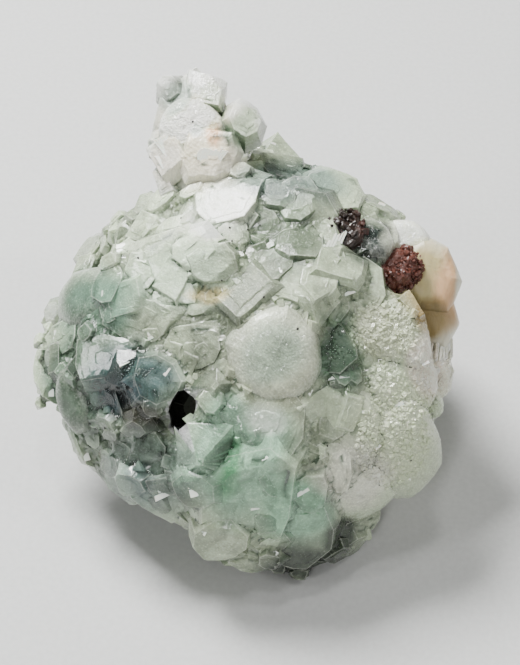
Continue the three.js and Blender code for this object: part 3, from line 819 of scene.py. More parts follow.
# Middle crystals: the big round tablet that faces the viewer, and the paler tables that climb from it.
MIDDLE = [
    ("tablet", "smooth", (-4.2, 23.4, 3.6), (6, 6, 4.2), 4, (4, 0)),
    ("tablet", "milky", (-6, 18, 0), (6.8, 4.6, 4.6), -14, (4, -12)),
    ("disc", "round", (4.8, -6.8, 2.6), (7.6, 8.2, 5), 8, (4, -4)),
    ("tablet", "smooth", (5.4, 0.4, 1.6), (6.4, 4.4, 4.6), -6, (2, 12)),
    ("tablet", "glassy", (7.4, 6.4, 0.4), (9, 7, 5.4), -4, (2, 16)),
    ("tablet", "glassy", (9.6, 16.6, -1), (6.6, 7.2, 5.4), -12, (2, 4)),
    ("boulder", "glassy", (0.6, 13.4, -1.6), (6.2, 5.2, 5), 20, (-6, -2)),
    ("tablet", "glassy", (3.4, 21.4, -2), (4.6, 4.6, 5), 30, (-4, 10)),
    ("boulder", "glassy", (-5.4, 2.2, -0.6), (5.2, 6, 5), 12, (-6, 4)),
    ("tablet", "glassy", (-9.8, -4.6, -1.4), (5.2, 4.6, 5), 22, (-8, -4)),
    ("tablet", "glassy", (-4.8, -10.4, -0.4), (3.6, 5.4, 4.4), -26, (-10, -2)),
]
seed = grow_region("middle_crystals", MIDDLE, seed)


# Ridge crystals: greyer, clear ones that slope away behind the column to the upper right.
BACK_RIDGE = [
    ("point", "glassy", (4, 33, 3.4), (4.3, 4.2, 4.6), 34, (-8, 30)),
    ("tablet", "glassy", (6.4, 29, 2.4), (4.8, 3.6, 4), -16, (4, 6)),
    ("blade", "glassy", (9.6, 29.8, 4.4), (6.8, 1.3, 3), -14, (0, 30)),
    ("blade", "glassy", (16, 27, 4), (6, 1.5, 3.4), -16, (8, 40)),
    ("tablet", "smooth", (16, 23.8, 0.6), (6.4, 4.9, 5), -22, (8, 8)),
    ("tablet", "glassy", (2.8, 27.2, -1), (3.9, 3.8, 4), 12, (-6, 2)),
    ("tablet", "glassy", (24.4, 20.6, 1.6), (4.6, 2.6, 4), -18, (10, 16)),
    ("boulder", "glassy", (22, 19.6, -1), (5, 3.6, 4.6), -14, (4, 6)),
]
seed = grow_region("ridge_crystals", BACK_RIDGE, seed)


# Right crystals: the smoky pair beside the rust, the long pale shelf, and dark green ones in its shade.
RIGHT = [
    ("blade", "milky", (15.6, 14.2, 1.6), (3.3, 7.2, 4), 16, (-20, 2)),
    ("disc", "pool", (23.4, 15, 3), (3.9, 4.3, 4.2), 12, (-4, 2)),
    ("boulder", "glassy", (26.4, 15.6, 0.8), (3.1, 4.6, 4.2), -12, (8, 2)),
    ("tablet", "glassy", (20.4, 4.2, -0.8), (5.6, 5.2, 5), 16, (2, 6)),
    ("boulder", "frosted", (26.4, -1.8, 0.8), (7.8, 6.2, 5.2), -28, (0, 4)),
    ("blade", "milky", (32.6, -3.6, 3.6), (1.6, 8, 3), 26, (26, -2)),
    ("tablet", "glassy", (14.6, 0.6, -0.8), (4, 3.6, 4.4), 34, (8, 6)),
    ("tablet", "clear", (15.8, -6.2, -0.6), (4.2, 4.6, 5), 38, (-10, 4)),
    ("tablet", "clear", (21.8, -6.8, -1.2), (5, 4.4, 5), 30, (8, 2)),
    ("point", "glassy", (16.2, -12.2, 2.2), (2.8, 2.2, 3), 14, (-16, 4)),
]
seed = grow_region("right_crystals", RIGHT, seed)


# Lower right crystals: rounded, sugary domes over upright milky tablets.
LOWER_RIGHT = [
    ("disc", "frosted", (29.2, -12.2, 2.4), (6.8, 5.8, 5), -6, (6, 4)),
    ("boulder", "frosted", (27.8, -24, 2), (7.5, 9.6, 7.4), 8, (-4, -2)),
    ("boulder", "frosted", (34.6, -16.6, 2.4), (3.2, 3.2, 4), 0, (4, 0)),
    ("disc", "round", (20.4, -20.6, 1.6), (4.6, 6.8, 4.4), -8, (-8, 2)),
    ("tablet", "smooth", (16.2, -26.6, 2.6), (3.3, 5.2, 4), 10, (-8, -8)),
    ("disc", "round", (21.8, -32, 1.8), (7.2, 6.2, 5.4), 18, (2, -14)),
    ("block", "milky", (21.4, -33, 1.4), (3.6, 3.4, 4), 32, (6, -24)),
    ("tablet", "glassy", (18.6, -37.4, 0), (5.6, 3.8, 4.6), 12, (2, -20)),
]
seed = grow_region("lower_right_crystals", LOWER_RIGHT, seed)


# Green crystals: the clear mint prisms of the lower middle, painted dark olive shade where they meet the
# resting surface.
GREEN = [
    ("tablet", "clear", (1.6, -19.6, 0.6), (8.6, 6.6, 5.6), -4, (2, 10)),
    ("tablet", "clear", (-0.6, -30.4, 0.2), (8.6, 10.4, 7), 3, (2, -12)),
    ("blade", "clear", (-8.4, -25, -0.4), (3.6, 10, 5.6), -3, (-24, -6)),
    ("tablet", "glassy", (15.2, -16.6, 0), (5.8, 4.6, 4.8), 28, (4, 6)),
    ("tablet", "glassy", (10.2, -23.8, 0), (5.4, 5, 5), 12, (6, 0)),
    ("tablet", "clear", (9.2, -38.4, 1.6), (6.9, 6.9, 5.6), 36, (4, -14)),
    ("blade", "glassy", (14.4, -32.4, 0.6), (3.2, 5.6, 4.4), -10, (14, -6)),
    ("tablet", "glassy", (-1, -41.4, 0.2), (6.6, 4.6, 5), 8, (-2, -22)),
    ("disc", "glassy", (0.4, -45.4, 10.5), (5.9, 3.3, 3.6), -12, (-6, -8)),
    ("boulder", "glassy", (9.4, -47.4, 11.5), (6.4, 2.9, 4.6), 6, (0, -10)),
    ("disc", "glassy", (18, -42.6, 9), (4.4, 4.4, 4.6), -18, (8, -14)),
]
seed = grow_region("green_crystals", GREEN, seed)


# Crystals of the back and sides, which the photo doesn't show: plainer, larger tablets, blocks and points
# that carry the cluster round to the side where it grew on the cavity's wall.
BACK_COUNT = 76
BACK_SEED = 4021
BACK_FACING = -0.06
BACK_LOWEST = -0.45
BACK_SINK = 0.72
BACK_SMALLEST = 6
BACK_SPREAD = 4
BACK_HABITS = ["tablet", "block", "block", "point"]


def even_directions(count):
    """Directions spread evenly over a ball, by the golden angle."""
    golden = math.pi * (3 - math.sqrt(5))
    for i in range(count):
        height = 1 - 2 * (i + 0.5) / count
        radius = math.sqrt(1 - height * height)
        yield Vector((radius * math.cos(i * golden), radius * math.sin(i * golden), height))


row_to_face_turn = face_to_row.to_3x3().transposed()
bodies = []
random = random_from(BACK_SEED)
for row_direction in even_directions(BACK_COUNT):
    direction = row_to_face_turn @ row_direction
    half = BACK_SMALLEST + BACK_SPREAD * random()
    habit = BACK_HABITS[int(random() * len(BACK_HABITS))]
    lean = jitter(random) * 0.7
    spin = 90 * random()
    flatness = 0.62 + 0.3 * random()
    own_seed = new_seed(random)
    if direction.z > BACK_FACING or row_direction.z < BACK_LOWEST:
        continue
    centre = mound_point(direction, BACK_SINK * half)
    matrix = face_to_row @ standing(centre, (direction + lean).normalized(), spin)
    look = ("milky", "glassy", "milky", "clear", "smooth")[own_seed % 5]
    size = (half, half * (0.8 + 0.2 * flatness), half * flatness)
    entry = (habit, look, None, size, spin, None)
    body = new_mass()
    grow(body, entry, matrix, own_seed, LOOKS, 1.1)
    bodies += [body, *parallel_growth(entry, matrix, own_seed, LOOKS)]
piece = grown_together("back_crystals", bodies, APOPHYLLITES)
paint(piece)
set_down(piece, ["apophyllite_crystals"])
grown_pieces.append(piece)


# Grown-together base: the cloudy, sugary mass that fills the valleys between the crystals nearly flush with
# their edges, and the young crystals that sit on it. It draws back round the pit.
BASE_DEPTH = 3.4
PIT = Vector((-11.6, -15.5, 24))
PIT_REACH = 6
FILL_VOXEL = 0.75 * MM
FILL_REACH = 1.7 * MM
FILL_BELOW = 0.3 * MM
FILL_GRAIN = 0.16 * MM

base = new_mass()
rings = []
AROUND, UPWARD = 120, 60
for ring in range(UPWARD):
    tilt = math.pi * (ring + 0.5) / UPWARD
    points = []
    for i in range(AROUND):
        angle = math.tau * i / AROUND
        flat = math.sin(tilt)
        direction = Vector((math.cos(angle) * flat, math.sin(angle) * flat, -math.cos(tilt)))
        place = mound_point(direction, BASE_DEPTH)
        near = (place - PIT).length
        if near < PIT_REACH * 1.6:
            place = mound_point(direction, BASE_DEPTH + 9 * max(0.0, 1 - near / (PIT_REACH * 1.6)))
        points.append(place)
    rings.append((points, 0.2, 0.2))
add_rings(base, rings, face_to_row, 0, 0.5)
for point in base["points"]:
    point.z = max(point.z, 1.0)


# Swelling the joined crystals and shrinking them back closes every valley that is narrower than the swelling.
joined = bmesh.new()
joined.from_mesh(to_mesh("base", base, APOPHYLLITES))
for piece in grown_pieces:
    joined.from_mesh(piece.data)
whole = bpy.data.meshes.new("joined_crystals")
joined.to_mesh(whole)
joined.free()
skin = even_skin(whole, FILL_VOXEL)
for vertex, normal in [(v, v.normal.copy()) for v in skin.vertices]:
    vertex.co += normal * FILL_REACH
skin.update()
skin = even_skin(skin, FILL_VOXEL)
to_face = face_to_row.inverted()
for vertex, normal in [(v, v.normal.copy()) for v in skin.vertices]:
    at = vertex.co / MM
    grain = noise.noise(at * 1.1) + 0.6 * noise.noise(at * 2.3)
    pit_share = max(0.0, 1 - (to_face @ at - PIT).length / (PIT_REACH * 1.5))
    vertex.co -= normal * (FILL_REACH + FILL_BELOW - grain * FILL_GRAIN + pit_share * 6 * MM)
skin.materials.clear()
skin.materials.append(glassy)
growth = skin.color_attributes.new("growth", "FLOAT_COLOR", "CORNER")
growth.data.foreach_set("color", [0.2, 0.4, 0.3, 1.0] * len(growth.data))
fill = bpy.data.objects.new("grown_together_base", skin)
paint(fill)
set_down(fill, ["apophyllite_crystals"])

# The pit between the smoky crystals and the green prism is carved out of the crystals and the base.
hollow = new_mass()
entry = true_place(("boulder", "clear", (-11.5, -17.3, 24.6), (3.5, 5.7, 9), -16, (0, 0)), 77)
matrix = face_to_row @ standing(Vector(entry[2]), axis_of(*entry[2][:2], entry[5], False), entry[4])
grow(hollow, entry, matrix, 77, LOOKS, fine=False)
pit = bpy.data.objects.new("pit", to_mesh("pit", hollow, APOPHYLLITES))
bpy.context.scene.collection.objects.link(pit)
for piece in [*grown_pieces, fill]:
    carving = piece.modifiers.new("pit", "BOOLEAN")
    carving.operation = "DIFFERENCE"
    carving.object = pit
    carving.solver = "MANIFOLD"
    carved = bpy.data.meshes.new_from_object(piece.evaluated_get(bpy.context.evaluated_depsgraph_get()))
    piece.modifiers.clear()
    carved.validate()
    if len(carved.polygons) > len(piece.data.polygons) / 2:
        piece.data = carved
bpy.data.objects.remove(pit)

VALLEY_REACH = 5 * MM
VALLEY_SHADE = Vector((0.83, 0.77, 0.81))


def shade_valleys(pieces, among):
    """Paints shade into the pieces' zone colours: darkens each point by how much of its open side is closed
    off.
    """
    places, corners = [], []
    for piece in among:
        first = len(places)
        places += [vertex.co.copy() for vertex in piece.data.vertices]
        corners += [[first + corner for corner in polygon.vertices] for polygon in piece.data.polygons]
    everything = BVHTree.FromPolygons(places, corners)
    ways = [Vector(way) for way in even_directions(7)]
    for piece in pieces:
        zone = piece.data.color_attributes["zone"]
        colours = [0.0] * (4 * len(piece.data.vertices))
        zone.data.foreach_get("color", colours)
        for i, vertex in enumerate(piece.data.vertices):
            start, closed = vertex.co + vertex.normal * 0.08 * MM, 0.0
            for way in ways:
                toward = (vertex.normal * 1.15 + way).normalized()
                distance = everything.ray_cast(start, toward, VALLEY_REACH)[3]
                if distance is not None:
                    closed += (1 - distance / VALLEY_REACH) / len(ways)
            for channel in range(3):
                colours[4 * i + channel] *= 1 - VALLEY_SHADE[channel] * min(1.0, 2.1 * closed)
        zone.data.foreach_set("color", colours)


shade_valleys([*grown_pieces, fill], [*grown_pieces, fill])
MIDDLE_OF_MOUND = face_to_row @ Vector((*MOUND_MIDDLE, 0))
depsgraph = bpy.context.evaluated_depsgraph_get()
trees = [(BVHTree.FromObject(piece, depsgraph), piece.name) for piece in [*grown_pieces, fill]]


def first_met(start, toward):
    """The crystal surface that a ray first meets: place, normal, distance and the piece's name."""
    hits = [(*tree_of_piece.ray_cast(start, toward), name) for tree_of_piece, name in trees]
    hits = [(place, normal, distance, name) for place, normal, _, distance, name in hits if place is not None]
    return min(hits, key=lambda hit: hit[2]) if hits else None


YOUNG_COUNT = 9000
YOUNG_SMALLEST = 0.35
YOUNG_SPREAD = 1.1
YOUNG_SINK = 0.55
mass = new_mass()
random = random_from(90210)
for row_direction in even_directions(YOUNG_COUNT):
    half = YOUNG_SMALLEST + YOUNG_SPREAD * random() ** 4
    lean = jitter(random) * 1.1
    spin = 90 * random()
    own_seed = new_seed(random)
    met = first_met((MIDDLE_OF_MOUND + row_direction * 90) * MM, -row_direction)
    if met is None or met[3] != fill.name or row_direction.z < -0.4:
        continue
    centre = met[0] / MM
    if centre.z < half + 0.8 or (to_face @ centre - PIT).length < PIT_REACH:
        continue
    if own_seed % 5 < 2:
        continue
    habit = ("point", "tablet", "block", "point", "shard")[own_seed % 5]
    matrix = standing(centre - met[1] * half * YOUNG_SINK, (met[1] + lean).normalized(), spin)
    plain_crystal(mass, habit, "clear", half, matrix, own_seed, LOOKS)
# The rounded crystals on the right are sugary: their skin is a crust of crystals of half a millimetre to one.
SUGARY = [(29.2, -12.2, 6.6, 5.6), (27.8, -24, 7.3, 9.4), (34.6, -16.6, 3, 3), (26.4, -1.8, 7.4, 5.8)]
SUGAR_SPACING = 0.74
SUGAR_SMALLEST = 0.2
SUGAR_SPREAD = 0.34
ABOVE_ALL = 80
GOLDEN_ANGLE = math.pi * (3 - math.sqrt(5))
face_up = face_to_row.to_3x3() @ UP
for x, y, across, along in SUGARY:
    count = round(math.pi * across * along / SUGAR_SPACING**2)
    for i in range(count):
        radius, angle = math.sqrt((i + 0.5) / count), i * GOLDEN_ANGLE
        seen_x = x + across * radius * math.cos(angle) + 0.4 * (random() - 0.5)
        seen_y = y + along * radius * math.sin(angle) + 0.4 * (random() - 0.5)
        above = Vector((*true_spot(seen_x, seen_y), ABOVE_ALL))
        half = SUGAR_SMALLEST + SUGAR_SPREAD * random() ** 2
        lean = jitter(random) * 1.2
        own_seed = new_seed(random)
        met = first_met((face_to_row @ above) * MM, -face_up)
        if met is None:
            continue
        matrix = standing(met[0] / MM - met[1] * half * 0.4, (met[1] + lean).normalized(), 90 * random())
        habit = ("point", "block", "tablet")[own_seed % 3]
        plain_crystal(mass, habit, "frosted", half, matrix, own_seed, LOOKS)
piece = bpy.data.objects.new("young_crystals", to_mesh("young_crystals", mass, APOPHYLLITES))
paint(piece)
set_down(piece, ["apophyllite_crystals"])


# Stilbite column: pearly white lumps, tablets and blocks of stilbite piled into a leaning column, with a few
# frosted, milky and glassy apophyllite crystals on it. Fine light and dark streaks run along it.
stilbite, tree, shader = new_material("stilbite_pearly")
place = add(tree, "ShaderNodeTexCoord").outputs["Object"]
growth = add(tree, "ShaderNodeAttribute", {"attribute_name": "growth"})
parts = add(tree, "ShaderNodeSeparateColor", links={"Color": growth.outputs["Color"]})
zone = add(tree, "ShaderNodeAttribute", {"attribute_name": "zone"})
along = maths(tree, "MULTIPLY", place, (1, 0.35, 0.35), kind=VECTOR_MATHS)
streaks = add(
    tree,
    "ShaderNodeTexNoise",
    {"Scale": 900.0, "Detail": 5.0, "Roughness": 0.7, "Distortion": 1.2},
    {"Vector": along},
).outputs["Fac"]
shade = maths(tree, "MULTIPLY_ADD", streaks, 1.0, 0.48)
tone = add(
    tree, "ShaderNodeVectorMath", {"operation": "SCALE"}, {0: zone.outputs["Color"], "Scale": shade}
).outputs[0]
tree.links.new(tone, shader.inputs["Base Color"])
fibres = add(tree, "ShaderNodeTexNoise", {"Scale": 1500.0, "Detail": 2.0}, {"Vector": place}).outputs["Fac"]
bump = add(tree, "ShaderNodeBump", {"Strength": 0.6, "Distance": 0.4 * MM}, {"Height": fibres})
tree.links.new(bump.outputs["Normal"], shader.inputs["Normal"])
shader.inputs["Roughness"].default_value = 0.3
shader.inputs["IOR"].default_value = 1.5
shader.inputs["Subsurface Weight"].default_value = 0.5
shader.inputs["Subsurface Radius"].default_value = (1.0, 0.98, 0.92)
shader.inputs["Subsurface Scale"].default_value = 0.5 * MM
shader.inputs["Transmission Weight"].default_value = 0.12

COLUMN_LOOKS = ["stilbite", "milky", "glassy", "frosted"]
COLUMN_MATERIALS = [stilbite, milky, glassy, frosted]
COLUMN_CRYSTALS = [
    ("boulder", "stilbite", (-11.4, 40.6, 12), (6.4, 8, 7), 10, (-4, 10)),
    ("boulder", "stilbite", (-9.6, 31, 12.5), (7.4, 8.4, 8.2), 20, (0, 6)),
    ("disc", "frosted", (-11.6, 38.6, 16.6), (4.8, 5.6, 4.2), 30, (0, 4)),
    ("disc", "glassy", (-15.2, 46.4, 13.4), (3.1, 3.1, 3.6), 0, (-14, 20)),
    ("block", "milky", (-9.2, 45.6, 13), (3.2, 2.8, 4.4), -12, (6, 16)),
    ("disc", "glassy", (-1.6, 39.4, 16.4), (3.6, 4.4, 4.4), 22, (12, 6)),
    ("block", "stilbite", (-14.8, 33, 16.6), (3.2, 3.8, 3.8), 34, (-24, 4)),
    ("tablet", "stilbite", (-8, 32, 19), (4.8, 4.8, 4), -18, (4, 8)),
    ("blade", "stilbite", (-15.6, 28, 14.6), (2, 3.4, 4), 22, (-20, -4)),
    ("tablet", "stilbite", (-17, 36, 13), (2.4, 3, 3.4), 15, (-20, 6)),
]
bodies = grow_list(COLUMN_CRYSTALS, 501, COLUMN_LOOKS, on_mound=False, crowded=False)
column = grown_together("stilbite_column_crystals", bodies, COLUMN_MATERIALS)
paint(column, "#d3d5cc")
shade_valleys([column], [column])
set_down(column, ["stilbite_column"])


# Stilbite wedge: rounded cream lumps that close the right side, peach to tan where iron got in, with two
# fringes of thin milky blades below them.
cream, tree, shader = new_material("stilbite_cream")
place = add(tree, "ShaderNodeTexCoord").outputs["Object"]
zone = add(tree, "ShaderNodeAttribute", {"attribute_name": "zone"})
fibre_way = maths(tree, "MULTIPLY", place, (1, 0.3, 0.3), kind=VECTOR_MATHS)
stain = add(
    tree,
    "ShaderNodeTexNoise",
    {"Scale": 520.0, "Detail": 6.0, "Roughness": 0.68, "Distortion": 0.8},
    {"Vector": fibre_way},
).outputs["Fac"]
shade = maths(tree, "MULTIPLY_ADD", stain, 0.7, 0.6)
tone = add(
    tree, "ShaderNodeVectorMath", {"operation": "SCALE"}, {0: zone.outputs["Color"], "Scale": shade}
).outputs[0]
tree.links.new(tone, shader.inputs["Base Color"])
bump = add(tree, "ShaderNodeBump", {"Strength": 0.4, "Distance": 0.3 * MM}, {"Height": stain})
tree.links.new(bump.outputs["Normal"], shader.inputs["Normal"])
shader.inputs["Roughness"].default_value = 0.38
shader.inputs["IOR"].default_value = 1.5
shader.inputs["Subsurface Weight"].default_value = 0.5
shader.inputs["Subsurface Radius"].default_value = (1.0, 0.85, 0.6)
shader.inputs["Subsurface Scale"].default_value = 0.6 * MM

BLADE_THICKNESS = 0.4
FAN_ANGLE = 5


def sheaf(mass, entry, seed, looks):
    """A fan of thin blades with pointed ends, each turned a little from the one before."""
    _, look, (x, y, stand), size, spin, turn = true_place(entry, seed)
    random = random_from(seed)
    frame_matrix = face_to_row @ standing(Vector((x, y, stand)), axis_of(x, y, turn, False), spin)
    thin = BLADE_THICKNESS
    count = max(4, round(2 * size[0] / (thin * 1.15)))
    for i in range(count):
        across = (i + 0.5) / count * 2 - 1
        bulge = math.sqrt(max(0.05, 1 - across * across * 0.75))
        moved = Vector((across * size[0] * 0.92, (random() - 0.5) * 0.6, (random() - 0.5) * 0.5))
        own = Matrix.Translation(moved)
        tip = Matrix.Rotation(math.radians(across * FAN_ANGLE + 3 * (random() - 0.5)), 4, "Z")
        roll = Matrix.Rotation(math.radians(across * 22 + 5 * (random() - 0.5)), 4, "Y")
        wide = thin * (1.05 + 0.5 * random())
        long = size[1] * bulge * (0.9 + 0.16 * random())
        own_seed = new_seed(random)
        blade = ("blade", look, None, (wide, long, size[2] * bulge), 0, None)
        grow(mass, blade, frame_matrix @ own @ roll @ tip, own_seed, looks, 1.4, False)


WEDGE_LOOKS = ["cream", "milky", "glassy", "frosted", "round"]
WEDGE_MATERIALS = [cream, milky, glassy, frosted, milky]
WEDGE_CRYSTALS = [
    ("boulder", "cream", (34.2, 9.4, 12), (6.6, 7.8, 7.4), 18, (10, 6)),
    ("boulder", "cream", (36, 3.2, 11), (4.4, 7, 7), 8, (12, -4)),
    ("boulder", "frosted", (37, -10.4, 12.6), (3.6, 4.8, 4.4), -6, (12, -4)),
    ("boulder", "round", (32, 15.8, 13), (4, 3.2, 5.2), -6, (6, 12)),
]
WEDGE_SHEAVES = [
    ("blade", "milky", (35.8, -5.4, 12.6), (3.2, 4.2, 4.6), -10, (16, 4)),
    ("blade", "milky", (36.4, -10, 12.8), (2.8, 3.6, 4.6), -30, (16, 4)),
]
bodies = grow_list(WEDGE_CRYSTALS, 601, WEDGE_LOOKS, on_mound=False, crowded=False)
wedge = grown_together("stilbite_wedge_core", bodies, WEDGE_MATERIALS)
paint(wedge, "#cdcaba")
shade_valleys([wedge], [wedge])
set_down(wedge, ["stilbite_wedge"])
mass = new_mass()
for i, entry in enumerate(WEDGE_SHEAVES):
    sheaf(mass, entry, 6601 + 31 * i, WEDGE_LOOKS)
piece = bpy.data.objects.new("stilbite_wedge_blades", to_mesh("stilbite_wedge_blades", mass, WEDGE_MATERIALS))
paint(piece, "#cdcaba")
set_down(piece, ["stilbite_wedge"])


# Rusty druse: knobs of tiny crystals coated with iron oxide, between the ridge and the wedge. They are dark
# brown on the left and brick red on the right.
druse, tree, shader = new_material("iron_oxide_druse")
place = add(tree, "ShaderNodeTexCoord").outputs["Object"]
parts = add(tree, "ShaderNodeSeparateXYZ", links={"Vector": place})
grains = add(tree, "ShaderNodeTexVoronoi", {"Scale": 1300.0}, {"Vector": place})
side = add(
    tree, "ShaderNodeMapRange", {"From Min": 0.018, "From Max": 0.03}, {"Value": parts.outputs["X"]}
).outputs["Result"]
mottle = add(tree, "ShaderNodeTexNoise", {"Scale": 600.0, "Detail": 4.0}, {"Vector": place}).outputs["Fac"]
mixed = maths(tree, "MULTIPLY_ADD", mottle, 0.6, side)
tone = ramp(
    tree,
    mixed,
    [
        (0.15, linear("#16110e")),
        (0.45, linear("#2a1d16")),
        (0.8, linear("#43221a")),
        (1.0, linear("#573026")),
    ],
)
tree.links.new(tone, shader.inputs["Base Color"])
grain_height = grains.outputs["Distance"]
bump = add(tree, "ShaderNodeBump", {"Strength": 0.7, "Distance": 0.4 * MM}, {"Height": grain_height})
tree.links.new(bump.outputs["Normal"], shader.inputs["Normal"])
shader.inputs["Roughness"].default_value = 0.42

DRUSE_KNOBS = [
    ("boulder", "druse", (17.9, 16.8, 23.2), (3.7, 3.5, 3.6), 20, (-4, 8)),
    ("boulder", "druse", (20.6, 12, 22.4), (2.4, 2.2, 2.8), 0, (0, 0)),
    ("boulder", "druse", (25.2, 8.8, 22), (3, 2, 2.8), 0, (0, 0)),
    ("boulder", "druse", (29.2, 9.8, 20), (3.9, 3.1, 3.8), 28, (4, 0)),
]
DRUSE_CRYSTALS = 420
DRUSE_SEED = 701
mass = new_mass()
random = random_from(4711)
for i, seen in enumerate(DRUSE_KNOBS):
    entry = true_place(seen, DRUSE_SEED + SEED_STEP * i)
    matrix = face_to_row @ standing(Vector(entry[2]), axis_of(*entry[2][:2], entry[5], False), entry[4])
    dome(mass, entry, matrix, DRUSE_SEED + SEED_STEP * i, ["druse"], grain=0.9, grain_scale=0.5)
    size = Vector(entry[3])
    for way in even_directions(DRUSE_CRYSTALS):
        half = 0.2 + 0.4 * random() ** 2
        lean = jitter(random) * 0.9
        own_seed = new_seed(random)
        bulged = Vector([math.copysign(abs(part) ** 0.85, part) for part in way]).normalized()
        place = Vector((size.x * bulged.x, size.y * bulged.y, size.z * bulged.z)) * (0.86 + 0.26 * random())
        own = matrix @ standing(place, (bulged + lean).normalized(), 90 * random())
        habit = ("block", "point", "tablet")[own_seed % 3]
        plain_crystal(mass, habit, "druse", half, own, own_seed, ["druse"])
piece = bpy.data.objects.new("rusty_druse_knobs", to_mesh("rusty_druse_knobs", mass, [druse]))
set_down(piece, ["rust_druse"])


# Bright facets and specks: small flat faces turned so that they mirror a lamp to the viewer, and dark specks
# of iron oxide on the crystals.
VIEW_DISTANCE = 350 * MM
AIM = face_to_row @ Vector((*LOOKED_AT, AIM_DEPTH)) * MM
CAMERA_PLACE = AIM + (face_to_row.to_3x3() @ UP) * VIEW_DISTANCE
depsgraph = bpy.context.evaluated_depsgraph_get()
trees += [(BVHTree.FromObject(piece, depsgraph), piece.name) for piece in (column, wedge)]
LAMPS = {
    "key": ((-0.24, 0.28, 0.57), 0.24, 13.0),
    "near": ((-0.12, -0.5, 0.5), 0.08, 0.9),
    "right": ((0.35, -0.1, 0.6), 0.08, 0.9),
    "left": ((-0.45, -0.2, 0.45), 0.08, 0.8),
    "top": ((0.0, 0.0, 0.72), 0.08, 0.9),
}
# Each patch of facets: place on the display face as seen, half length, half width, turn and strips.
FACET_PATCHES = [
    (-7.7, 30.8, 2.8, 2.2, 52, 12),
    (-16.4, 33.4, 2.4, 1.3, -48, 6),
    (-16.6, 30, 2.8, 1.3, -55, 7),
    (-24, 13.6, 2.6, 1.9, 10, 5),
    (-15.2, 10.4, 2.4, 1.6, 35, 6),
    (-14.6, 5, 1.6, 0.8, 20, 3),
    (-18.6, -2.9, 1.7, 1.1, 30, 3),
    (15.4, 13.8, 5.6, 1.5, 62, 6),
    (1.6, -18, 1.4, 1, 4, 4),
    (2.6, -25.8, 1.3, 1.2, 20, 3),
    (27.4, -15.6, 2.3, 1.6, 12, 5),
    (0.8, -35.5, 1.2, 0.5, 10, 2),
    (14.8, -11.2, 1.5, 1.5, 40, 4),
    (17.7, -10.6, 1.1, 0.4, 10, 2),
    (11.3, -13.5, 1.2, 0.9, 60, 3),
    (9.5, -32.3, 2.2, 1.5, 30, 5),
    (-11, -32, 1.4, 2.6, 15, 4),
    (-16.5, -32.6, 3.2, 1.8, 25, 5),
    (9.4, -6, 0.5, 0.5, 0, 1),
    (-22, -28, 1.6, 0.7, 50, 2),
    (-31, -25, 0.8, 1.8, 15, 2),
    (-8.6, -40, 1.6, 0.8, 60, 3),
    (4.6, 33, 2, 0.9, -20, 3),
    (12, 31, 2.2, 0.7, -15, 2),
    (25, 21.6, 3, 1, -18, 4),
    (21, 25.4, 1.6, 0.8, 20, 3),
    (-27.6, 5, 0.9, 0.6, 0, 1),
    (-36.8, -3, 0.8, 1.2, 10, 2),
    (-37.4, -13, 0.7, 1.6, 0, 2),
    (-24, -8, 1.4, 0.6, 30, 2),
    (-16, -9.6, 1.2, 0.7, 60, 2),
    (24, -24, 0.9, 0.5, 40, 2),
    (22, -17, 1.1, 0.6, 10, 2),
    (8.6, 24, 1.5, 0.8, 35, 3),
    (11, 10.6, 1.2, 0.7, 25, 2),
    (5.4, 9.4, 1, 0.6, 0, 2),
    (-5.6, 10.8, 0.9, 0.5, 15, 2),
    (30, -30, 0.8, 0.4, 0, 1),
    (33, -8, 1, 0.6, 30, 2),
    (28.4, 2, 1.6, 0.7, -40, 2),
    (18.6, 5.4, 1.2, 0.8, 20, 2),
]
# These patches keep all their strips. Any other with more than FEW_STRIPS gets that few, and is made smaller.
STRIPED = {(-7.7, 30.8), (-16.4, 33.4), (15.4, 13.8)}
FEW_STRIPS = 2
SHORTER = 0.75
NARROWER = 0.6
SPECKS = [
    (-21.1, 11.7), (-13, 19.2), (-11.3, 9.2), (-5.3, 7.4), (-3.8, 17.4),
    (2.6, 4.3), (9, -1.7), (1.9, 17.9), (-0.4, 17), (-3.4, 14.9),
    (-10.8, 37.4), (14.6, -23.8), (24.4, -31.2), (-27.4, -20.4), (30.4, -26.6),
]


def seen_place(x, y):
    """The first surface behind a place on the display face, as the viewer sees it."""
    toward = (face_to_row @ Vector((x, y, AIM_DEPTH)) * MM - CAMERA_PLACE).normalized()
    return first_met(CAMERA_PLACE, toward)


def mirror_normal(place, normal):
    """The normal that mirrors a lamp to the viewer, of the lamp that asks for the least turn."""
    to_viewer = (CAMERA_PLACE - place).normalized()
    ways = [(to_viewer + (Vector(lamp[0]) - place).normalized()).normalized() for lamp in LAMPS.values()]
    return max(ways, key=lambda way: way.dot(normal))


bright_face, tree, shader = new_material("apophyllite_clean_face")
zone = add(tree, "ShaderNodeAttribute", {"attribute_name": "zone"})
# The facets' colour is pulled 60% of the way to near-white: painted highlight, on top of the lamps that the
# facets really mirror.
painted_highlight_tone = add(
    tree, "ShaderNodeMix", {"data_type": "RGBA", 0: 0.6, 7: linear("#e6e9de")}, {6: zone.outputs["Color"]}
).outputs[2]
tree.links.new(painted_highlight_tone, shader.inputs["Base Color"])
shader.inputs["Roughness"].default_value = 0.27
shader.inputs["IOR"].default_value = 1.53
shader.inputs["Subsurface Weight"].default_value = 0.3
shader.inputs["Subsurface Scale"].default_value = 0.6 * MM

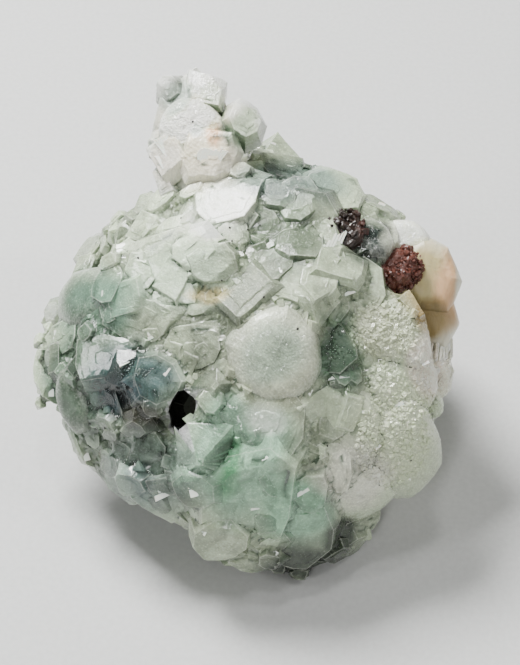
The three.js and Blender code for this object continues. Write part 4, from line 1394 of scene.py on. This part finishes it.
mass = new_mass()
random = random_from(777)
for x, y, half_length, half_width, spin, strips in FACET_PATCHES:
    if strips > FEW_STRIPS and (x, y) not in STRIPED:
        half_length *= SHORTER
        half_width *= NARROWER
        strips = FEW_STRIPS
    found = seen_place(x, y)
    if found is None:
        continue
    place, normal = found[:2]
    wanted = mirror_normal(place, normal)
    turn = math.radians(spin)
    side = face_to_row.to_3x3() @ Vector((math.cos(turn), math.sin(turn), 0))
    side = (side - wanted * side.dot(wanted)).normalized()
    other = wanted.cross(side)
    slant = 0.5 * (random() - 0.5)
    narrow = 0.55 + 0.4 * random()
    for strip in range(strips):
        across = (strip + 0.5) / strips * 2 - 1
        reach = half_length * (1 - narrow * (across + 1) / 2) * (0.86 + 0.2 * random())
        half = half_width / strips * (0.8 + 0.16 * random())
        tipped = (wanted + 0.14 * jitter(random)).normalized()
        along = slant * across * half_length + 0.1 * (random() - 0.5) * half_length
        middle = place / MM + side * along + other * (across * half_width) - normal * 0.1
        outline = [(-1, -1), (1, -1), (1 - 0.3 * random(), 1), (-1 + 0.3 * random(), 1)]
        rings = []
        for level, share in ((-0.9, 0.9), (0.0, 1.0), (0.06, 0.94)):
            points = []
            for u, v in outline:
                point = side * (u * reach * share) + other * (v * half * share) + tipped * level
                points.append(point + middle)
            rings.append((points, 0.1, 0.5))
        add_rings(mass, rings, Matrix.Identity(4), 0, random())
piece = bpy.data.objects.new("bright_facets", to_mesh("bright_facets", mass, [bright_face]))
paint(piece)
set_down(piece, ["apophyllite_crystals", "stilbite_column", "stilbite_wedge"])

dark_speck, tree, shader = new_material("iron_oxide_speck")
shader.inputs["Base Color"].default_value = linear("#1d1a16")
shader.inputs["Roughness"].default_value = 0.5
mass = new_mass()
for x, y in SPECKS:
    found = seen_place(x, y)
    if found is None:
        continue
    place, normal = found[:2]
    rings = []
    for level in range(5):
        tilt = math.pi * (level + 0.4) / 4.8
        radius = 0.2 * math.sin(tilt) * (0.9 + 0.6 * random())
        flat = -0.15 * math.cos(tilt)
        rings.append(([Vector((radius * c, radius * 0.8 * k, flat)) for c, k in regular(6)], 0, 0))
    add_rings(mass, rings, standing(place / MM, normal, 360 * random()), 0, 0.5)
piece = bpy.data.objects.new("dark_specks", to_mesh("dark_specks", mass, [dark_speck]))
set_down(piece, ["apophyllite_crystals"])


# Floor, light and camera: a pale matt floor, soft boxes over and beside the specimen, and a camera at arm's
# length that looks down at the display face.
VIEW_HEIGHT_SEEN = 125.5 * MM

floor_material, tree, shader = new_material("pale_matt_floor")
place = add(tree, "ShaderNodeTexCoord").outputs["Object"]
speck = add(tree, "ShaderNodeTexNoise", {"Scale": 900.0, "Detail": 2.0}, {"Vector": place}).outputs["Fac"]
tone = ramp(tree, speck, [(0.3, linear("#bcbdbb")), (0.7, linear("#c3c4c2"))])
tree.links.new(tone, shader.inputs["Base Color"])
shader.inputs["Roughness"].default_value = 0.8

bpy.ops.mesh.primitive_plane_add(size=3.0, location=(0, 0, 0))
floor = bpy.context.object
floor.name = "floor"
floor.data.materials.append(floor_material)


def soft_box(name, place, aim, size, power):
    """A square area light at a place in metres, aimed at a point."""
    light = bpy.data.lights.new(name, "AREA")
    light.shape = "SQUARE"
    light.size = size
    light.energy = power
    lamp = bpy.data.objects.new(name, light)
    lamp.location = place
    lamp.rotation_euler = (Vector(aim) - Vector(place)).to_track_quat("-Z", "Y").to_euler()
    bpy.context.scene.collection.objects.link(lamp)


for name, (lamp_place, size, power) in LAMPS.items():
    soft_box(name + "_box", lamp_place, (0, 0, 0.03), size, power)
soft_box("fill_box", (0.5, -0.25, 0.4), (0, 0, 0.03), 0.5, 1.0)

world = bpy.data.worlds.new("soft_room")
bpy.context.scene.world = world
world.use_nodes = True
world.node_tree.nodes["Background"].inputs["Color"].default_value = linear("#d3d4cf")
world.node_tree.nodes["Background"].inputs["Strength"].default_value = 0.13

camera_data = bpy.data.cameras.new("camera")
camera_data.sensor_width = 36
camera_data.lens = 36 * VIEW_DISTANCE / VIEW_HEIGHT_SEEN
camera_data.clip_start = 0.01
camera = bpy.data.objects.new("camera", camera_data)
camera.location = CAMERA_PLACE
camera.rotation_euler = (math.radians(FACE_LEAN), 0, 0)
bpy.context.scene.collection.objects.link(camera)
bpy.context.scene.camera = camera
